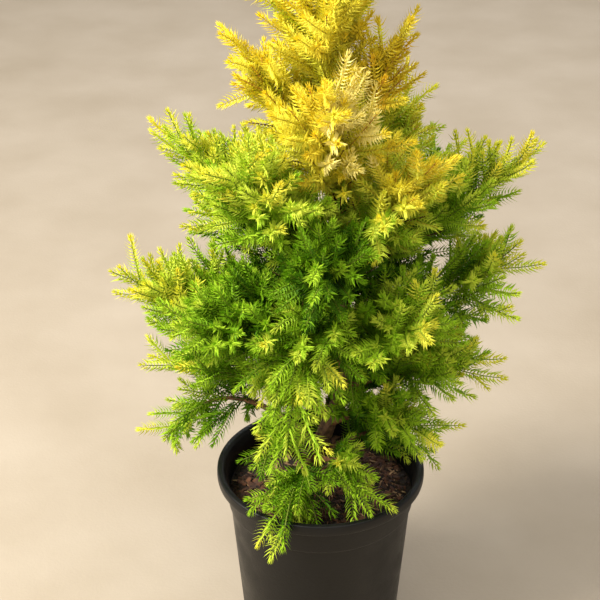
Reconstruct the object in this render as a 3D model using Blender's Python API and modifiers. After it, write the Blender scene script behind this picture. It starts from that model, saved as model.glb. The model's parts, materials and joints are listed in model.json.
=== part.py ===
# Potted lemon cypress, built as a grower would describe it: a black nursery pot filled with
# compost, one leaning trunk, tapering boughs, and a mass of needle sprays at the end of each bough.
# Metres, +Z up. The origin is the middle of the pot's flat underside and -Y is the side shown.

import math
import random

import bmesh
import bpy
import numpy as np
from mathutils import Matrix, Vector

# Pot: heights are above the ground, radii are outer ones
POT_HEIGHT = 0.120
RIM_RADIUS = 0.065
LIP_WIDTH = 0.0048
LIP_HEIGHT = 0.007
COLLAR_TOP_RADIUS = 0.0598
COLLAR_FOOT_RADIUS = 0.0583
COLLAR_FOOT = 0.024
NECK_RADIUS = 0.0570
BASE_RADIUS = 0.0494
WALL = 0.0015
FLOOR = 0.002
POT_STEPS = 32
DRAIN_HOLES = 6
DRAIN_RADIUS = 0.004
DRAIN_RING = 0.036
DRAIN_SIDES = 12
# Small roundings: pairs are (in from the outer radius, down from the top) or shares of the lip
LIP_TOP_SHARES = (0.25, 0.65)
LIP_INNER_DROP = 0.0010
LIP_ROUND = ((0.0004, 0.0012), (0.0, 0.0030), (0.0002, LIP_HEIGHT))
LIP_UNDERCUT = 0.0006
COLLAR_STEP_INSIDE = 0.0020
COLLAR_STEP = 0.0012
BASE_CHAMFER = (0.0018, 0.0025)

# Compost, filled to below the rim and a little uneven
SOIL_TOP = POT_HEIGHT - 0.016
SOIL_RINGS = (1.0, 0.86, 0.68, 0.48, 0.26)
SOIL_STEPS = 32
SOIL_BUMP = 0.0016
SOIL_WAVES = (170.0, 140.0)
SOIL_FINE_WAVES = (410.0, 330.0)
SOIL_FINE_SHARE = 0.35
SOIL_NECK = 0.004

# Gap kept between pieces that rest on each other
SEAT = 0.0003
SOIL_GAP = 1.5 * SEAT

# Trunk: it leans to +X on its way up, most at the bend, and comes back over the pot
TRUNK_TOP = POT_HEIGHT + 0.236
TRUNK_FOOT_X = -0.006
TRUNK_BEND_X = 0.016
TRUNK_TIP_X = 0.003
TRUNK_BEND = 0.35
TRUNK_SWAY_Y = 0.0032
TRUNK_FOOT_RADIUS = 0.0052
TRUNK_TIP_RADIUS = 0.0018
FLARE_RADIUS = 0.0034
FLARE_HEIGHT = 0.004
TRUNK_RINGS = 22
TRUNK_CROWDING = 1.35

# Limbs: each row is a bough and the mass of foliage that it carries. Heights are above the rim.
# name: (bearing in degrees, +X is 0 and the viewer -90; height of the foot on the trunk; reach
# from the pot's axis; height of the tip; arch of the middle; girth, the longest side shoot;
# share of the limb that is bare bough)
LIMBS = {
    "skirt_front": (-108, 0.004, 0.074, -0.040, 0.044, 0.036, 0.24),
    "skirt_left": (-152, 0.000, 0.062, 0.010, 0.020, 0.032, 0.24),
    "skirt_right": (-62, 0.002, 0.060, 0.002, 0.020, 0.034, 0.24),
    "skirt_side": (6, 0.006, 0.068, 0.006, 0.018, 0.034, 0.24),
    "skirt_rear": (78, 0.010, 0.088, 0.020, 0.022, 0.040, 0.24),
    "low_left": (150, 0.012, 0.120, -0.020, 0.052, 0.038, 0.36),
    "low_side": (162, 0.034, 0.116, 0.052, 0.016, 0.046, 0.30),
    "low_right": (-34, 0.030, 0.082, 0.040, 0.022, 0.046, 0.22),
    "low_rear_right": (34, 0.040, 0.108, 0.068, 0.006, 0.052, 0.20),
    "low_rear_left": (112, 0.046, 0.112, 0.078, 0.006, 0.052, 0.20),
    "weeping_front": (-103, 0.068, 0.090, 0.078, 0.070, 0.052, 0.18),
    "middle_side": (-20, 0.056, 0.102, 0.094, 0.004, 0.050, 0.18),
    "middle_left": (184, 0.072, 0.120, 0.134, -0.004, 0.058, 0.18),
    "middle_front_left": (-142, 0.086, 0.102, 0.134, 0.004, 0.058, 0.18),
    "middle_front_right": (-52, 0.086, 0.094, 0.140, 0.004, 0.058, 0.18),
    "middle_front": (-92, 0.122, 0.086, 0.182, 0.004, 0.058, 0.18),
    "middle_right": (-6, 0.092, 0.118, 0.160, -0.004, 0.056, 0.18),
    "middle_rear_right": (46, 0.100, 0.114, 0.176, -0.004, 0.060, 0.18),
    "middle_rear_left": (128, 0.108, 0.112, 0.176, -0.004, 0.060, 0.18),
    "upper_left": (165, 0.142, 0.094, 0.212, -0.004, 0.048, 0.16),
    "upper_front_left": (-128, 0.150, 0.078, 0.224, -0.004, 0.052, 0.16),
    "upper_front_right": (-38, 0.156, 0.076, 0.224, -0.004, 0.050, 0.16),
    "upper_right": (4, 0.134, 0.128, 0.214, -0.004, 0.054, 0.16),
    "upper_rear": (52, 0.164, 0.092, 0.230, -0.004, 0.054, 0.16),
    "top_left": (176, 0.196, 0.052, 0.288, -0.004, 0.048, 0.14),
    "top_right": (-2, 0.202, 0.048, 0.292, -0.004, 0.046, 0.14),
    "top_front": (-86, 0.184, 0.054, 0.268, -0.004, 0.050, 0.14),
    "top_rear": (100, 0.190, 0.060, 0.276, -0.004, 0.050, 0.14),
}
LEADER = "leader"
LEADER_REACH = 0.362
LEADER_GIRTH = 0.044
BOUGH_RADIUS = 0.0023
STEM_TIP_RADIUS = 0.0007
STEM_SWELL = 1.25
FOOT_CHECKS = 12
LIMB_SAMPLES = 28
BOUGH_RINGS = 4
STEM_RINGS = 5

# Side shoots: one at every station of a stem, turned by the golden angle from the last. Their
# sizes are shares of the mass's girth, at even places from the start of the stem to its end.
STATION = 0.0050
STEM_SPAN = (0.06, 0.97)
GOLDEN_ANGLE = math.radians(137.5)
TURN_JITTER = 0.3
SHOOT_SIZES = (0.74, 0.98, 0.92, 0.72, 0.50)
SIZE_JITTER = (0.82, 1.12)
SHOOT_ANGLES = (math.radians(54), math.radians(34))
SHOOT_RISE = 0.42
# The shoots of the lowest limbs lie flatter
LOW_RISES = {"skirt_front": -0.1, "skirt_left": 0.0, "skirt_right": 0.0, "skirt_side": 0.1, "low_left": 0.1}
SHORTEST_SHOOT = 0.014
TWIG_RADIUS = 0.0008
TWIG_TAPER = 0.6
ROOT_DEPTH = 0.9
END_TURN = 0.12
END_OVERLAP = 0.003

# Sprays: one makes a short shoot, and a long one forks into several on a twig
LONGEST_SPRAY = 0.044
BEYOND_STEM = 0.8 * LONGEST_SPRAY
LONGEST_ALONE = 0.054
FORK_REACH = 0.038
FORK_PLACES = (0.55, 0.90)
FORK_SPRAY = 0.032
FORK_ANGLE = math.radians(44)
SPRAY_TRIES = (1.0, 0.86, 0.72, 0.58)
SPRAY_ROLLS = (0.6, 2.5)
SPRAY_SPREAD = 0.0134
SPRAY_MIDDLE = 0.6

# A spray of needles is a toothed blade: these are shares of its length
SPRAY_ROOT = 0.03
SPRAY_TEETH = ((0.40, 0.20), (0.55, 0.07), (0.82, 0.15))
SPRAY_SPINE = (0.25, 0.5, 0.75)
SPRAY_THICKNESS = 0.0046

# Room kept between one mass and the next, and from limbs, pot and compost
SPACE_MARGIN = 0.0009
LIMB_CLEAR = 0.0012
POT_CLEAR = 0.0015
TRUNK_CHECKS = 80
# A direction whose level part is shorter than this counts as upright
LEAST_LEVEL = 0.05


def clear_scene():
    for old in list(bpy.data.objects):
        bpy.data.objects.remove(old, do_unlink=True)


def new_collection(name, helper=False):
    made = bpy.data.collections.new(name)
    bpy.context.scene.collection.children.link(made)
    made.hide_render = helper
    return made


def finish(name, colour, roughness):
    """A plain material: base colour, roughness, no metal."""
    made = bpy.data.materials.new(name)
    made.use_nodes = True
    shader = made.node_tree.nodes["Principled BSDF"]
    shader.inputs["Base Color"].default_value = (*colour, 1.0)
    shader.inputs["Roughness"].default_value = roughness
    shader.inputs["Metallic"].default_value = 0.0
    return made


def link(obj, collection, material):
    collection.objects.link(obj)
    obj.data.materials.append(material)
    return obj


def turned(name, profile, steps):
    """A profile of (radius, height) points spun about +Z by a Screw modifier."""
    mesh = bpy.data.meshes.new(name)
    points = [(radius, 0.0, height) for radius, height in profile]
    mesh.from_pydata(points, [(i, i + 1) for i in range(len(points) - 1)], [])
    obj = bpy.data.objects.new(name, mesh)
    screw = obj.modifiers.new("Spin", "SCREW")
    screw.steps = screw.render_steps = steps
    screw.use_merge_vertices = True
    screw.merge_threshold = 0.00001
    screw.use_normal_calculate = True
    return obj


def tube(name, points, radii, sides_level, profile=None):
    """A curve along points, with a radius at each and filled caps."""
    curve = bpy.data.curves.new(name, "CURVE")
    curve.dimensions = "3D"
    curve.bevel_depth = 1.0
    curve.bevel_resolution = sides_level
    curve.use_fill_caps = True
    if profile:
        curve.bevel_mode = "OBJECT"
        curve.bevel_object = profile
    spline = curve.splines.new("POLY")
    spline.points.add(len(points) - 1)
    for spot, place, radius in zip(spline.points, points, radii):
        spot.co = (*place, 1.0)
        spot.radius = radius
    return bpy.data.objects.new(name, curve)


def as_mesh(obj, collection):
    """The curve object as a mesh object with its caps welded; the curve is removed."""
    collection.objects.link(obj)
    bpy.context.view_layer.update()
    graph = bpy.context.evaluated_depsgraph_get()
    mesh = bpy.data.meshes.new_from_object(obj.evaluated_get(graph))
    shape = bmesh.new()
    shape.from_mesh(mesh)
    bmesh.ops.remove_doubles(shape, verts=shape.verts, dist=0.000001)
    shape.to_mesh(mesh)
    shape.free()
    name, place = obj.name, obj.matrix_world.copy()
    bpy.data.objects.remove(obj, do_unlink=True)
    made = bpy.data.objects.new(name, mesh)
    made.matrix_world = place
    return made


def smooth(obj, angle=40):
    obj.data.shade_smooth()
    obj.data.set_sharp_from_angle(angle=math.radians(angle))


# Where the limbs run


def side_of(way, turn):
    """A direction square to way, turned about it."""
    level = way.cross(Vector((0, 0, 1)))
    if level.length < LEAST_LEVEL:
        level = Vector((1, 0, 0)) - way * way.x
    level.normalize()
    return level * math.cos(turn) + level.cross(way) * math.sin(turn)


def trunk_sway(share):
    """How far the trunk's middle lies to +X and +Y at a share of its height."""
    if share < TRUNK_BEND:
        foot, way = TRUNK_FOOT_X, share / TRUNK_BEND
    else:
        foot, way = TRUNK_TIP_X, (1 - share) / (1 - TRUNK_BEND)
    sway = foot + (TRUNK_BEND_X - foot) * math.sin(math.pi / 2 * way) ** 2
    return sway, TRUNK_SWAY_Y * math.sin(2 * math.pi * share)


def trunk_rings():
    """(height, x, y, radius) of each ring of the trunk, from its flat cut to its tip."""
    foot = SOIL_TOP + SEAT
    for i in range(TRUNK_RINGS):
        share = (i / (TRUNK_RINGS - 1)) ** TRUNK_CROWDING
        height = foot + (TRUNK_TOP - foot) * share
        straight = TRUNK_FOOT_RADIUS + (TRUNK_TIP_RADIUS - TRUNK_FOOT_RADIUS) * share
        flare = FLARE_RADIUS * math.exp(-(height - foot) / FLARE_HEIGHT)
        yield height, *trunk_sway(share), straight + flare


TRUNK = np.array(list(trunk_rings()))


def trunk_axis(height):
    """The trunk's middle at a height above the ground."""
    x, y = (float(np.interp(height, TRUNK[:, 0], TRUNK[:, i])) for i in (1, 2))
    return Vector((x, y, height))


def trunk_radius(height):
    return float(np.interp(height, TRUNK[:, 0], TRUNK[:, 3]))


def trunk_gap(place):
    """How far a point lies from the trunk's surface, on the level."""
    height = min(max(place.z, TRUNK[0, 0]), TRUNK_TOP)
    return (place - trunk_axis(height)).length - trunk_radius(height)


def bough_foot(root, way):
    """The nearest place out along way where a bough's cut end is clear of the trunk."""
    out = trunk_radius(root.z)
    while True:
        foot = root + way * out
        turns = (2 * math.pi * i / FOOT_CHECKS for i in range(FOOT_CHECKS))
        end = (foot + side_of(way, turn) * BOUGH_RADIUS for turn in turns)
        if min(trunk_gap(place) for place in end) >= SEAT:
            return foot
        out += SEAT / 2


def limb_line(name):
    """Evenly spaced points of a limb, from its foot on the trunk to the end of its stem."""
    if name == LEADER:
        foot = trunk_axis(TRUNK_TOP) + Vector((0, 0, SEAT))
        tip = Vector((foot.x, foot.y, POT_HEIGHT + LEADER_REACH - BEYOND_STEM))
        bend = (foot + tip) / 2
    else:
        bearing, foot_height, reach, tip_height, arch, _, _ = LIMBS[name]
        turn = math.radians(bearing)
        out = Vector((math.cos(turn), math.sin(turn), 0.0))
        root = trunk_axis(POT_HEIGHT + foot_height)
        end = out * reach + Vector((0, 0, POT_HEIGHT + tip_height))
        bend = (root + end) / 2 + Vector((0, 0, arch))
        foot = bough_foot(root, (bend - root).normalized())
        tip = end - (end - bend).normalized() * BEYOND_STEM
    shares = np.linspace(0.0, 1.0, LIMB_SAMPLES)
    return [
        foot * (1 - s) ** 2 + bend * 2 * s * (1 - s) + tip * s**2
        for s in (float(x) for x in shares)
    ]


def split_of(name):
    """The share of a limb that is bare bough; the leader has none."""
    return 0.0 if name == LEADER else LIMBS[name][6]


def girth_of(name):
    return LEADER_GIRTH if name == LEADER else LIMBS[name][5]


def along(line, share):
    """The point at a share of the line, and the way it runs there."""
    place = share * (len(line) - 1)
    i = min(int(place), len(line) - 2)
    step = line[i + 1] - line[i]
    return line[i] + step * (place - i), step.normalized()


def limb_radius(name, share):
    """Boughs taper evenly into the stems that they carry."""
    foot = TRUNK_TIP_RADIUS if name == LEADER else BOUGH_RADIUS
    return foot + (STEM_TIP_RADIUS - foot) * share


# Which places a mass may fill


class Spaces:
    """Each point belongs to the mass whose limb is nearest, less a margin."""

    def __init__(self, lines):
        self.points = {name: np.array(line) for name, line in lines.items()}
        heights = np.linspace(SOIL_TOP, TRUNK_TOP, TRUNK_CHECKS)
        self.trunk = np.array([trunk_axis(float(z)) for z in heights])
        self.trunk_radii = np.array([trunk_radius(float(z)) for z in heights])

    def nearest(self, places, name):
        gaps = np.linalg.norm(places[:, None] - self.points[name][None], axis=2)
        return gaps.min(axis=1)

    def in_pot(self, places):
        out = np.hypot(places[:, 0], places[:, 1])
        height = places[:, 2]
        over_soil = height > SOIL_TOP + SOIL_BUMP + POT_CLEAR
        within = (out < RIM_RADIUS - LIP_WIDTH - POT_CLEAR - WALL) & over_soil
        above = height > POT_HEIGHT + POT_CLEAR
        outside = out > RIM_RADIUS + POT_CLEAR
        return ~(within | above | outside)

    def allow(self, name, places):
        """True if every place is the mass's own and clear of trunk, bough, pot and compost."""
        places = np.array(places)
        own = self.nearest(places, name)
        others = [self.nearest(places, other) for other in self.points if other != name]
        if (np.min(others, axis=0) < own + 2 * SPACE_MARGIN).any():
            return False
        gaps = np.linalg.norm(places[:, None] - self.trunk[None], axis=2)
        if (gaps < self.trunk_radii + LIMB_CLEAR).any():
            return False
        bare = int(split_of(name) * (LIMB_SAMPLES - 1))
        if bare:
            gaps = np.linalg.norm(places[:, None] - self.points[name][None, :bare], axis=2)
            if (gaps < BOUGH_RADIUS + LIMB_CLEAR).any():
                return False
        return not self.in_pot(places).any()


# How a mass grows


def shoots_of(name, line):
    """The side shoots of a stem as (root, way, length, share along the limb), lowest first."""
    chance = random.Random(name)
    start = split_of(name) + STEM_SPAN[0]
    length = sum((b - a).length for a, b in zip(line, line[1:]))
    count = int((1 - start) * length / STATION)
    turn = chance.uniform(0, 2 * math.pi)
    for i in range(count):
        inner = i / (count - 1)
        share = start + (STEM_SPAN[1] - start) * inner
        turn += GOLDEN_ANGLE + chance.uniform(-TURN_JITTER, TURN_JITTER)
        root, way = along(line, share)
        lean = SHOOT_ANGLES[0] + (SHOOT_ANGLES[1] - SHOOT_ANGLES[0]) * inner
        out = way * math.cos(lean) + side_of(way, turn) * math.sin(lean)
        out = (out + Vector((0, 0, LOW_RISES.get(name, SHOOT_RISE)))).normalized()
        size = np.interp(inner, np.linspace(0, 1, len(SHOOT_SIZES)), SHOOT_SIZES)
        size *= girth_of(name) * chance.uniform(*SIZE_JITTER)
        yield root, out, max(SHORTEST_SHOOT, float(size)), share


def sprays_on(root, way, length, chance):
    """The sprays of one shoot as (root, way, length): one blade, or several on a short twig."""
    if length <= LONGEST_ALONE:
        return [(root, way, length)]
    fork = length - FORK_REACH
    sprays = [(root + way * fork, way, FORK_REACH)]
    turn = chance.uniform(0, math.pi)
    for side, place in enumerate(FORK_PLACES):
        aside = side_of(way, turn + math.pi * side)
        lean = way * math.cos(FORK_ANGLE) + aside * math.sin(FORK_ANGLE)
        sprays.append((root + way * fork * place, lean.normalized(), FORK_SPRAY))
    return sprays


def spray_frame(root, way, length, roll, sunk):
    """The matrix that lays the blade along way, its root sunk into what carries it."""
    across = side_of(way, roll)
    face = way.cross(across)
    turned_axes = Matrix((way, across, face)).transposed().to_4x4()
    return Matrix.Translation(root - way * sunk) @ turned_axes @ Matrix.Diagonal(
        (length + sunk, length + sunk, 1.0, 1.0)
    )


def blade_outline():
    """A blade one unit long: out along one toothed side to the tip, and back along the other."""
    side = [(0.0, SPRAY_ROOT), *SPRAY_TEETH]
    return [*side, (1.0, 0.0), *((x, -y) for x, y in reversed(side))]


def blade_mesh():
    """The toothed blade: its outline is a sharp edge, raised to a low peak on either face."""
    shape = bmesh.new()
    edge = [shape.verts.new((x, y, 0.0)) for x, y in reversed(blade_outline())]
    for side in (edge, edge[::-1]):
        face = shape.faces.new(side)
        face.normal_update()
        bmesh.ops.poke(shape, faces=[face], offset=SPRAY_THICKNESS / 2, center_mode="MEAN")
    mesh = bpy.data.meshes.new("spray")
    shape.to_mesh(mesh)
    shape.free()
    return mesh


def twig_mesh():
    """A three-sided twig one unit long and one in radius, thinner at its end."""
    shape = bmesh.new()
    lying = Matrix.Translation((0.5, 0, 0)) @ Matrix.Rotation(math.pi / 2, 4, "Y")
    bmesh.ops.create_cone(
        shape,
        cap_ends=True,
        segments=3,
        radius1=1.0,
        radius2=TWIG_TAPER,
        depth=1.0,
        matrix=lying,
    )
    mesh = bpy.data.meshes.new("twig")
    shape.to_mesh(mesh)
    shape.free()
    return mesh


class Foliage:
    """Builds the masses, one stem with its twigs and sprays at a time."""

    def __init__(self, collection, material, spaces, lines):
        self.collection, self.material = collection, material
        self.spaces, self.lines = spaces, lines
        self.bench = new_collection("bench", helper=True)
        self.blade = blade_mesh()
        self.twig = twig_mesh()
        self.triangle = self.triangle_profile()
        self.reach = [Vector((x, y, 0.0)) for x, y in blade_outline()[1:-1]]
        for share in SPRAY_SPINE:
            self.reach.append(Vector((share, 0.0, SPRAY_THICKNESS / 2)))
            self.reach.append(Vector((share, 0.0, -SPRAY_THICKNESS / 2)))

    def triangle_profile(self):
        curve = bpy.data.curves.new("three_sides", "CURVE")
        curve.dimensions = "2D"
        spline = curve.splines.new("POLY")
        spline.points.add(2)
        spline.use_cyclic_u = True
        for i, spot in enumerate(spline.points):
            turn = -2 * math.pi * i / 3
            spot.co = (math.cos(turn), math.sin(turn), 0.0, 1.0)
        obj = bpy.data.objects.new("three_sides", curve)
        obj.hide_render = True
        self.bench.objects.link(obj)
        return obj

    def stem(self, name):
        line, split = self.lines[name], split_of(name)
        shares = [split + (1 - split) * i / (STEM_RINGS - 1) for i in range(STEM_RINGS)]
        points = [along(line, share)[0] for share in shares]
        radii = [limb_radius(name, share) * STEM_SWELL for share in shares]
        if split:
            bough_end = along(line, split * (1 - 0.5 / (BOUGH_RINGS - 1)))[1]
            way = (points[1] - points[0]).normalized()
            points[0] = points[0] + way * (SEAT + radii[0] * math.sin(way.angle(bough_end)))
        made = as_mesh(tube(name, points, radii, 0, self.triangle), self.bench)
        return link(made, self.collection, self.material)

    def add(self, mesh, frame, pieces):
        made = bpy.data.objects.new(mesh.name, mesh)
        made.matrix_world = frame
        pieces.objects.link(made)

    def add_sprays(self, name, shoot, chance, pieces, middles):
        """The sprays of one shoot that have room, each at the largest size that fits."""
        root, out, length, share = shoot
        sunk = limb_radius(name, share) * ROOT_DEPTH
        reach = 0.0
        for spot, heading, size in sprays_on(root, out, length, chance):
            roll = chance.uniform(*SPRAY_ROLLS)
            for part in SPRAY_TRIES:
                middle = spot + heading * size * part * SPRAY_MIDDLE
                if any((middle - other).length < SPRAY_SPREAD for other in middles):
                    continue
                frame = spray_frame(spot, heading, size * part, roll, sunk)
                if self.spaces.allow(name, [frame @ place for place in self.reach]):
                    self.add(self.blade, frame, pieces)
                    middles.append(middle)
                    reach = max(reach, (spot - root).length)
                    break
        if reach > 0.0:
            slim = Matrix.Diagonal((1.0, TWIG_RADIUS / (reach + 2 * sunk), TWIG_RADIUS, 1.0))
            frame = spray_frame(root, out, reach + sunk, SPRAY_ROLLS[0], sunk)
            self.add(self.twig, frame @ slim, pieces)

    def grow(self, name):
        """One mass: its stem, with every twig and spray that has room, joined in one union."""
        line = self.lines[name]
        chance = random.Random(name + " sprays")
        pieces = bpy.data.collections.new(name + "_sprays")
        self.bench.children.link(pieces)
        tip, way = along(line, 1.0)
        astray = (way + side_of(way, 1.0) * END_TURN).normalized()
        end = (tip - way * END_OVERLAP, astray, LONGEST_SPRAY, 1.0)
        middles = []
        for shoot in [*shoots_of(name, line), end]:
            self.add_sprays(name, shoot, chance, pieces, middles)
        self.join(self.stem(name), pieces)
        return len(middles)

    def join(self, stem, pieces):
        """One Boolean union on the collection, applied; the collection's objects are removed."""
        union = stem.modifiers.new("Join", "BOOLEAN")
        union.operation = "UNION"
        union.operand_type = "COLLECTION"
        union.collection = pieces
        union.solver = "MANIFOLD"
        bpy.context.view_layer.update()
        graph = bpy.context.evaluated_depsgraph_get()
        mesh = bpy.data.meshes.new_from_object(stem.evaluated_get(graph))
        stem.modifiers.clear()
        stem.data = mesh
        for piece in list(pieces.objects):
            bpy.data.objects.remove(piece, do_unlink=True)
        bpy.data.collections.remove(pieces)


# The pot, the compost and the limbs


def make_pot(collection, material):
    top = POT_HEIGHT
    lip = LIP_WIDTH
    inner = RIM_RADIUS - lip
    profile = [
        (0.0, FLOOR),
        (BASE_RADIUS - WALL, FLOOR),
        (NECK_RADIUS - WALL, top - COLLAR_FOOT - COLLAR_STEP_INSIDE),
        (COLLAR_FOOT_RADIUS - WALL, top - COLLAR_FOOT),
        (COLLAR_TOP_RADIUS - WALL, top - LIP_HEIGHT),
        (inner, top - LIP_INNER_DROP),
        *((inner + share * lip, top) for share in LIP_TOP_SHARES),
        *((RIM_RADIUS - inset, top - drop) for inset, drop in LIP_ROUND),
        (COLLAR_TOP_RADIUS, top - LIP_HEIGHT - LIP_UNDERCUT),
        (COLLAR_FOOT_RADIUS, top - COLLAR_FOOT),
        (NECK_RADIUS, top - COLLAR_FOOT - COLLAR_STEP),
        (BASE_RADIUS, BASE_CHAMFER[1]),
        (BASE_RADIUS - BASE_CHAMFER[0], 0.0),
        (0.0, 0.0),
    ]
    pot = link(turned("pot", profile, POT_STEPS), collection, material)
    cutters = new_collection("cutters", helper=True)
    for i in range(DRAIN_HOLES):
        turn = 2 * math.pi * (i + 0.5) / DRAIN_HOLES
        bpy.ops.mesh.primitive_cylinder_add(
            vertices=DRAIN_SIDES,
            radius=DRAIN_RADIUS,
            depth=4 * FLOOR,
            location=(DRAIN_RING * math.cos(turn), DRAIN_RING * math.sin(turn), FLOOR / 2),
        )
        drill = bpy.context.object
        drill.name = f"drain_{i}"
        for home in list(drill.users_collection):
            home.objects.unlink(drill)
        cutters.objects.link(drill)
        drill.hide_render = True
        drill.display_type = "WIRE"
    drain = pot.modifiers.new("Drain", "BOOLEAN")
    drain.operation = "DIFFERENCE"
    drain.operand_type = "COLLECTION"
    drain.collection = cutters
    return pot


def pot_inside(height):
    """The pot's inner radius at a height, below the collar."""
    share = (height - FLOOR) / (POT_HEIGHT - COLLAR_FOOT - COLLAR_STEP_INSIDE - FLOOR)
    return BASE_RADIUS - WALL + (NECK_RADIUS - BASE_RADIUS) * min(share, 1.0)


def make_soil(collection, material):
    """The compost fills the pot and lies a little uneven, but is level under the trunk."""
    foot = FLOOR + SEAT
    edge = pot_inside(POT_HEIGHT) - SOIL_GAP
    neck = POT_HEIGHT - COLLAR_FOOT - SOIL_NECK
    profile = [(0.0, SOIL_TOP)]
    profile += [(edge * share, SOIL_TOP) for share in reversed(SOIL_RINGS)]
    profile += [(edge, neck), (pot_inside(foot) - SOIL_GAP, foot), (0.0, foot)]
    soil = turned("soil", profile, SOIL_STEPS)
    soil = link(as_mesh(soil, new_collection("lathe", helper=True)), collection, material)
    level = (SOIL_RINGS[-1] + SOIL_RINGS[-2]) / 2 * edge
    for vertex in soil.data.vertices:
        x, y, height = vertex.co
        if height > neck + SOIL_NECK and math.hypot(x, y) > level:
            wave = math.sin(x * SOIL_WAVES[0] + 1.0) * math.cos(y * SOIL_WAVES[1])
            fine = math.sin(x * SOIL_FINE_WAVES[0] + y * SOIL_FINE_WAVES[1])
            vertex.co.z += SOIL_BUMP * (wave * (1 - SOIL_FINE_SHARE) + fine * SOIL_FINE_SHARE)
    return soil


def make_trunk(collection, material):
    """The trunk, cut flat and level where it stands on the compost."""
    points = [Vector((x, y, height)) for height, x, y, _ in TRUNK.tolist()]
    trunk = as_mesh(tube("trunk", points, TRUNK[:, 3].tolist(), 3), new_collection("saw", True))
    for vertex in trunk.data.vertices:
        if vertex.co.z < (points[0].z + points[1].z) / 2:
            vertex.co.z = points[0].z
    smooth(trunk)
    return link(trunk, collection, material)


def make_bough(name, line, collection, material):
    split = split_of(name)
    shares = [split * i / (BOUGH_RINGS - 1) for i in range(BOUGH_RINGS)]
    points = [along(line, share)[0] for share in shares]
    radii = [limb_radius(name, share) for share in shares]
    bough = tube("bough_" + name, points, radii, 1)
    return link(bough, collection, material)


def main():
    clear_scene()
    plant = new_collection("lemon_cypress")
    plastic = finish("pot_plastic", (0.022, 0.021, 0.020), 0.42)
    compost = finish("compost", (0.060, 0.034, 0.020), 0.95)
    bark = finish("bark", (0.190, 0.095, 0.048), 0.85)
    needles = finish("needles", (0.250, 0.420, 0.030), 0.60)
    lines = {name: limb_line(name) for name in [*LIMBS, LEADER]}
    make_pot(plant, plastic)
    make_soil(plant, compost)
    make_trunk(plant, bark)
    for name in LIMBS:
        make_bough(name, lines[name], plant, bark)
    foliage = Foliage(plant, needles, Spaces(lines), lines)
    for name in lines:
        print(name, foliage.grow(name), "sprays")


main()
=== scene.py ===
# %% [markdown]
# A lemon cypress in a nursery pot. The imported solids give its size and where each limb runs. Here
# they are dressed: a finely turned pot, crumbly compost, bark with relief, and about a hundred and
# sixty-five thousand needles. A plant is the same rule used again and again, so most of this lesson
# is one rule for how a twig carries smaller twigs, and one Geometry Nodes tree that sets needles on
# them.

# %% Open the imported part
import json
import math
import random

import bmesh
import bpy
import numpy as np
from mathutils import Matrix, Vector, noise

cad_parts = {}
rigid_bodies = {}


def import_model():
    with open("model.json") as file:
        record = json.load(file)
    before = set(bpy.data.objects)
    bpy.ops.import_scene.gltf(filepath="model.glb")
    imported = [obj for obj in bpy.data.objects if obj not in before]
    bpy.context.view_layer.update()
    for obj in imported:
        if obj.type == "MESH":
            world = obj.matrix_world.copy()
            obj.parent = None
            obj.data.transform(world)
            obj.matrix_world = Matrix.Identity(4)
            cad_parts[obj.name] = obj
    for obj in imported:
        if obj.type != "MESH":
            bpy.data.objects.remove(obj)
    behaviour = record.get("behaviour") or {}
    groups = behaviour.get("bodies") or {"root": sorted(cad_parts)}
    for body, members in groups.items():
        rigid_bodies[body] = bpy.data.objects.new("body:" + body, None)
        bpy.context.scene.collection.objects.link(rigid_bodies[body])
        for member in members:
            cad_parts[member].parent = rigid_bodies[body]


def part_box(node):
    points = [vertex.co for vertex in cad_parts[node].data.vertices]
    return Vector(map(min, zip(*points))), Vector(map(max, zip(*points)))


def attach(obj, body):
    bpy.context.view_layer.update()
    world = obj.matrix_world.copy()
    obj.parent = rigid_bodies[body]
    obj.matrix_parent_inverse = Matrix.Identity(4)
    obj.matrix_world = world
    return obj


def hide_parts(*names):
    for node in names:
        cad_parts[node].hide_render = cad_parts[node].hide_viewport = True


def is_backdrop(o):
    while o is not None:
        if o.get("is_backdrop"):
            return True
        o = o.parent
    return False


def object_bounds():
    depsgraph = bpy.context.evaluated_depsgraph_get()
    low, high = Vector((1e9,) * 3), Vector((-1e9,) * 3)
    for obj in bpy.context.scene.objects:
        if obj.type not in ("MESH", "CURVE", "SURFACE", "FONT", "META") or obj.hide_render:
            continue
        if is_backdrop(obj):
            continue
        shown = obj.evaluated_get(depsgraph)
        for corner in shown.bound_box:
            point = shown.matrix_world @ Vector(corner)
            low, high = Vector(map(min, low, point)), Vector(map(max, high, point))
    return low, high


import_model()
cad_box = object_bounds()
UP = Vector((0, 0, 1))
rim_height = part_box("pot")[1].z
rim_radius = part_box("pot")[1].x
crown_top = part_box("leader")[1].z
print("rim at", round(rim_height, 4), "radius", round(rim_radius, 4), "top", round(crown_top, 4))

# %% [markdown]
# The camera stands in front of the plant, a little under a metre away, and looks down on it by
# about thirty degrees with a slight roll, as one does when bending over a potted plant. A long
# lens keeps the pot's sides nearly straight. Its place is worked out from the distance and the
# angles rather than dragged about by hand, so it can be checked against measured points.

# %% The camera
LENS = 90.0
SENSOR = 36.0
CLOSEST = 0.01
DISTANCE = 0.948
# How far the camera stands above the pot's rim, turns aside, rolls, and looks over the rim
RISE, YAW, ROLL, DIP = (math.radians(a) for a in (35.31, -0.91, -0.32, 6.23))


def placed(name, data):
    """A new object of the scene with this data."""
    obj = bpy.data.objects.new(name, data)
    bpy.context.scene.collection.objects.link(obj)
    return obj


def camera_axes():
    """Right, up and back of the camera, after its roll."""
    pitch = RISE - DIP
    ahead = Vector((math.sin(YAW) * math.cos(pitch), math.cos(YAW) * math.cos(pitch), -math.sin(pitch)))
    right = ahead.cross(UP).normalized()
    up = right.cross(ahead)
    level = right * math.cos(ROLL) + up * math.sin(ROLL)
    upright = up * math.cos(ROLL) - right * math.sin(ROLL)
    return level, upright, -ahead


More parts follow.
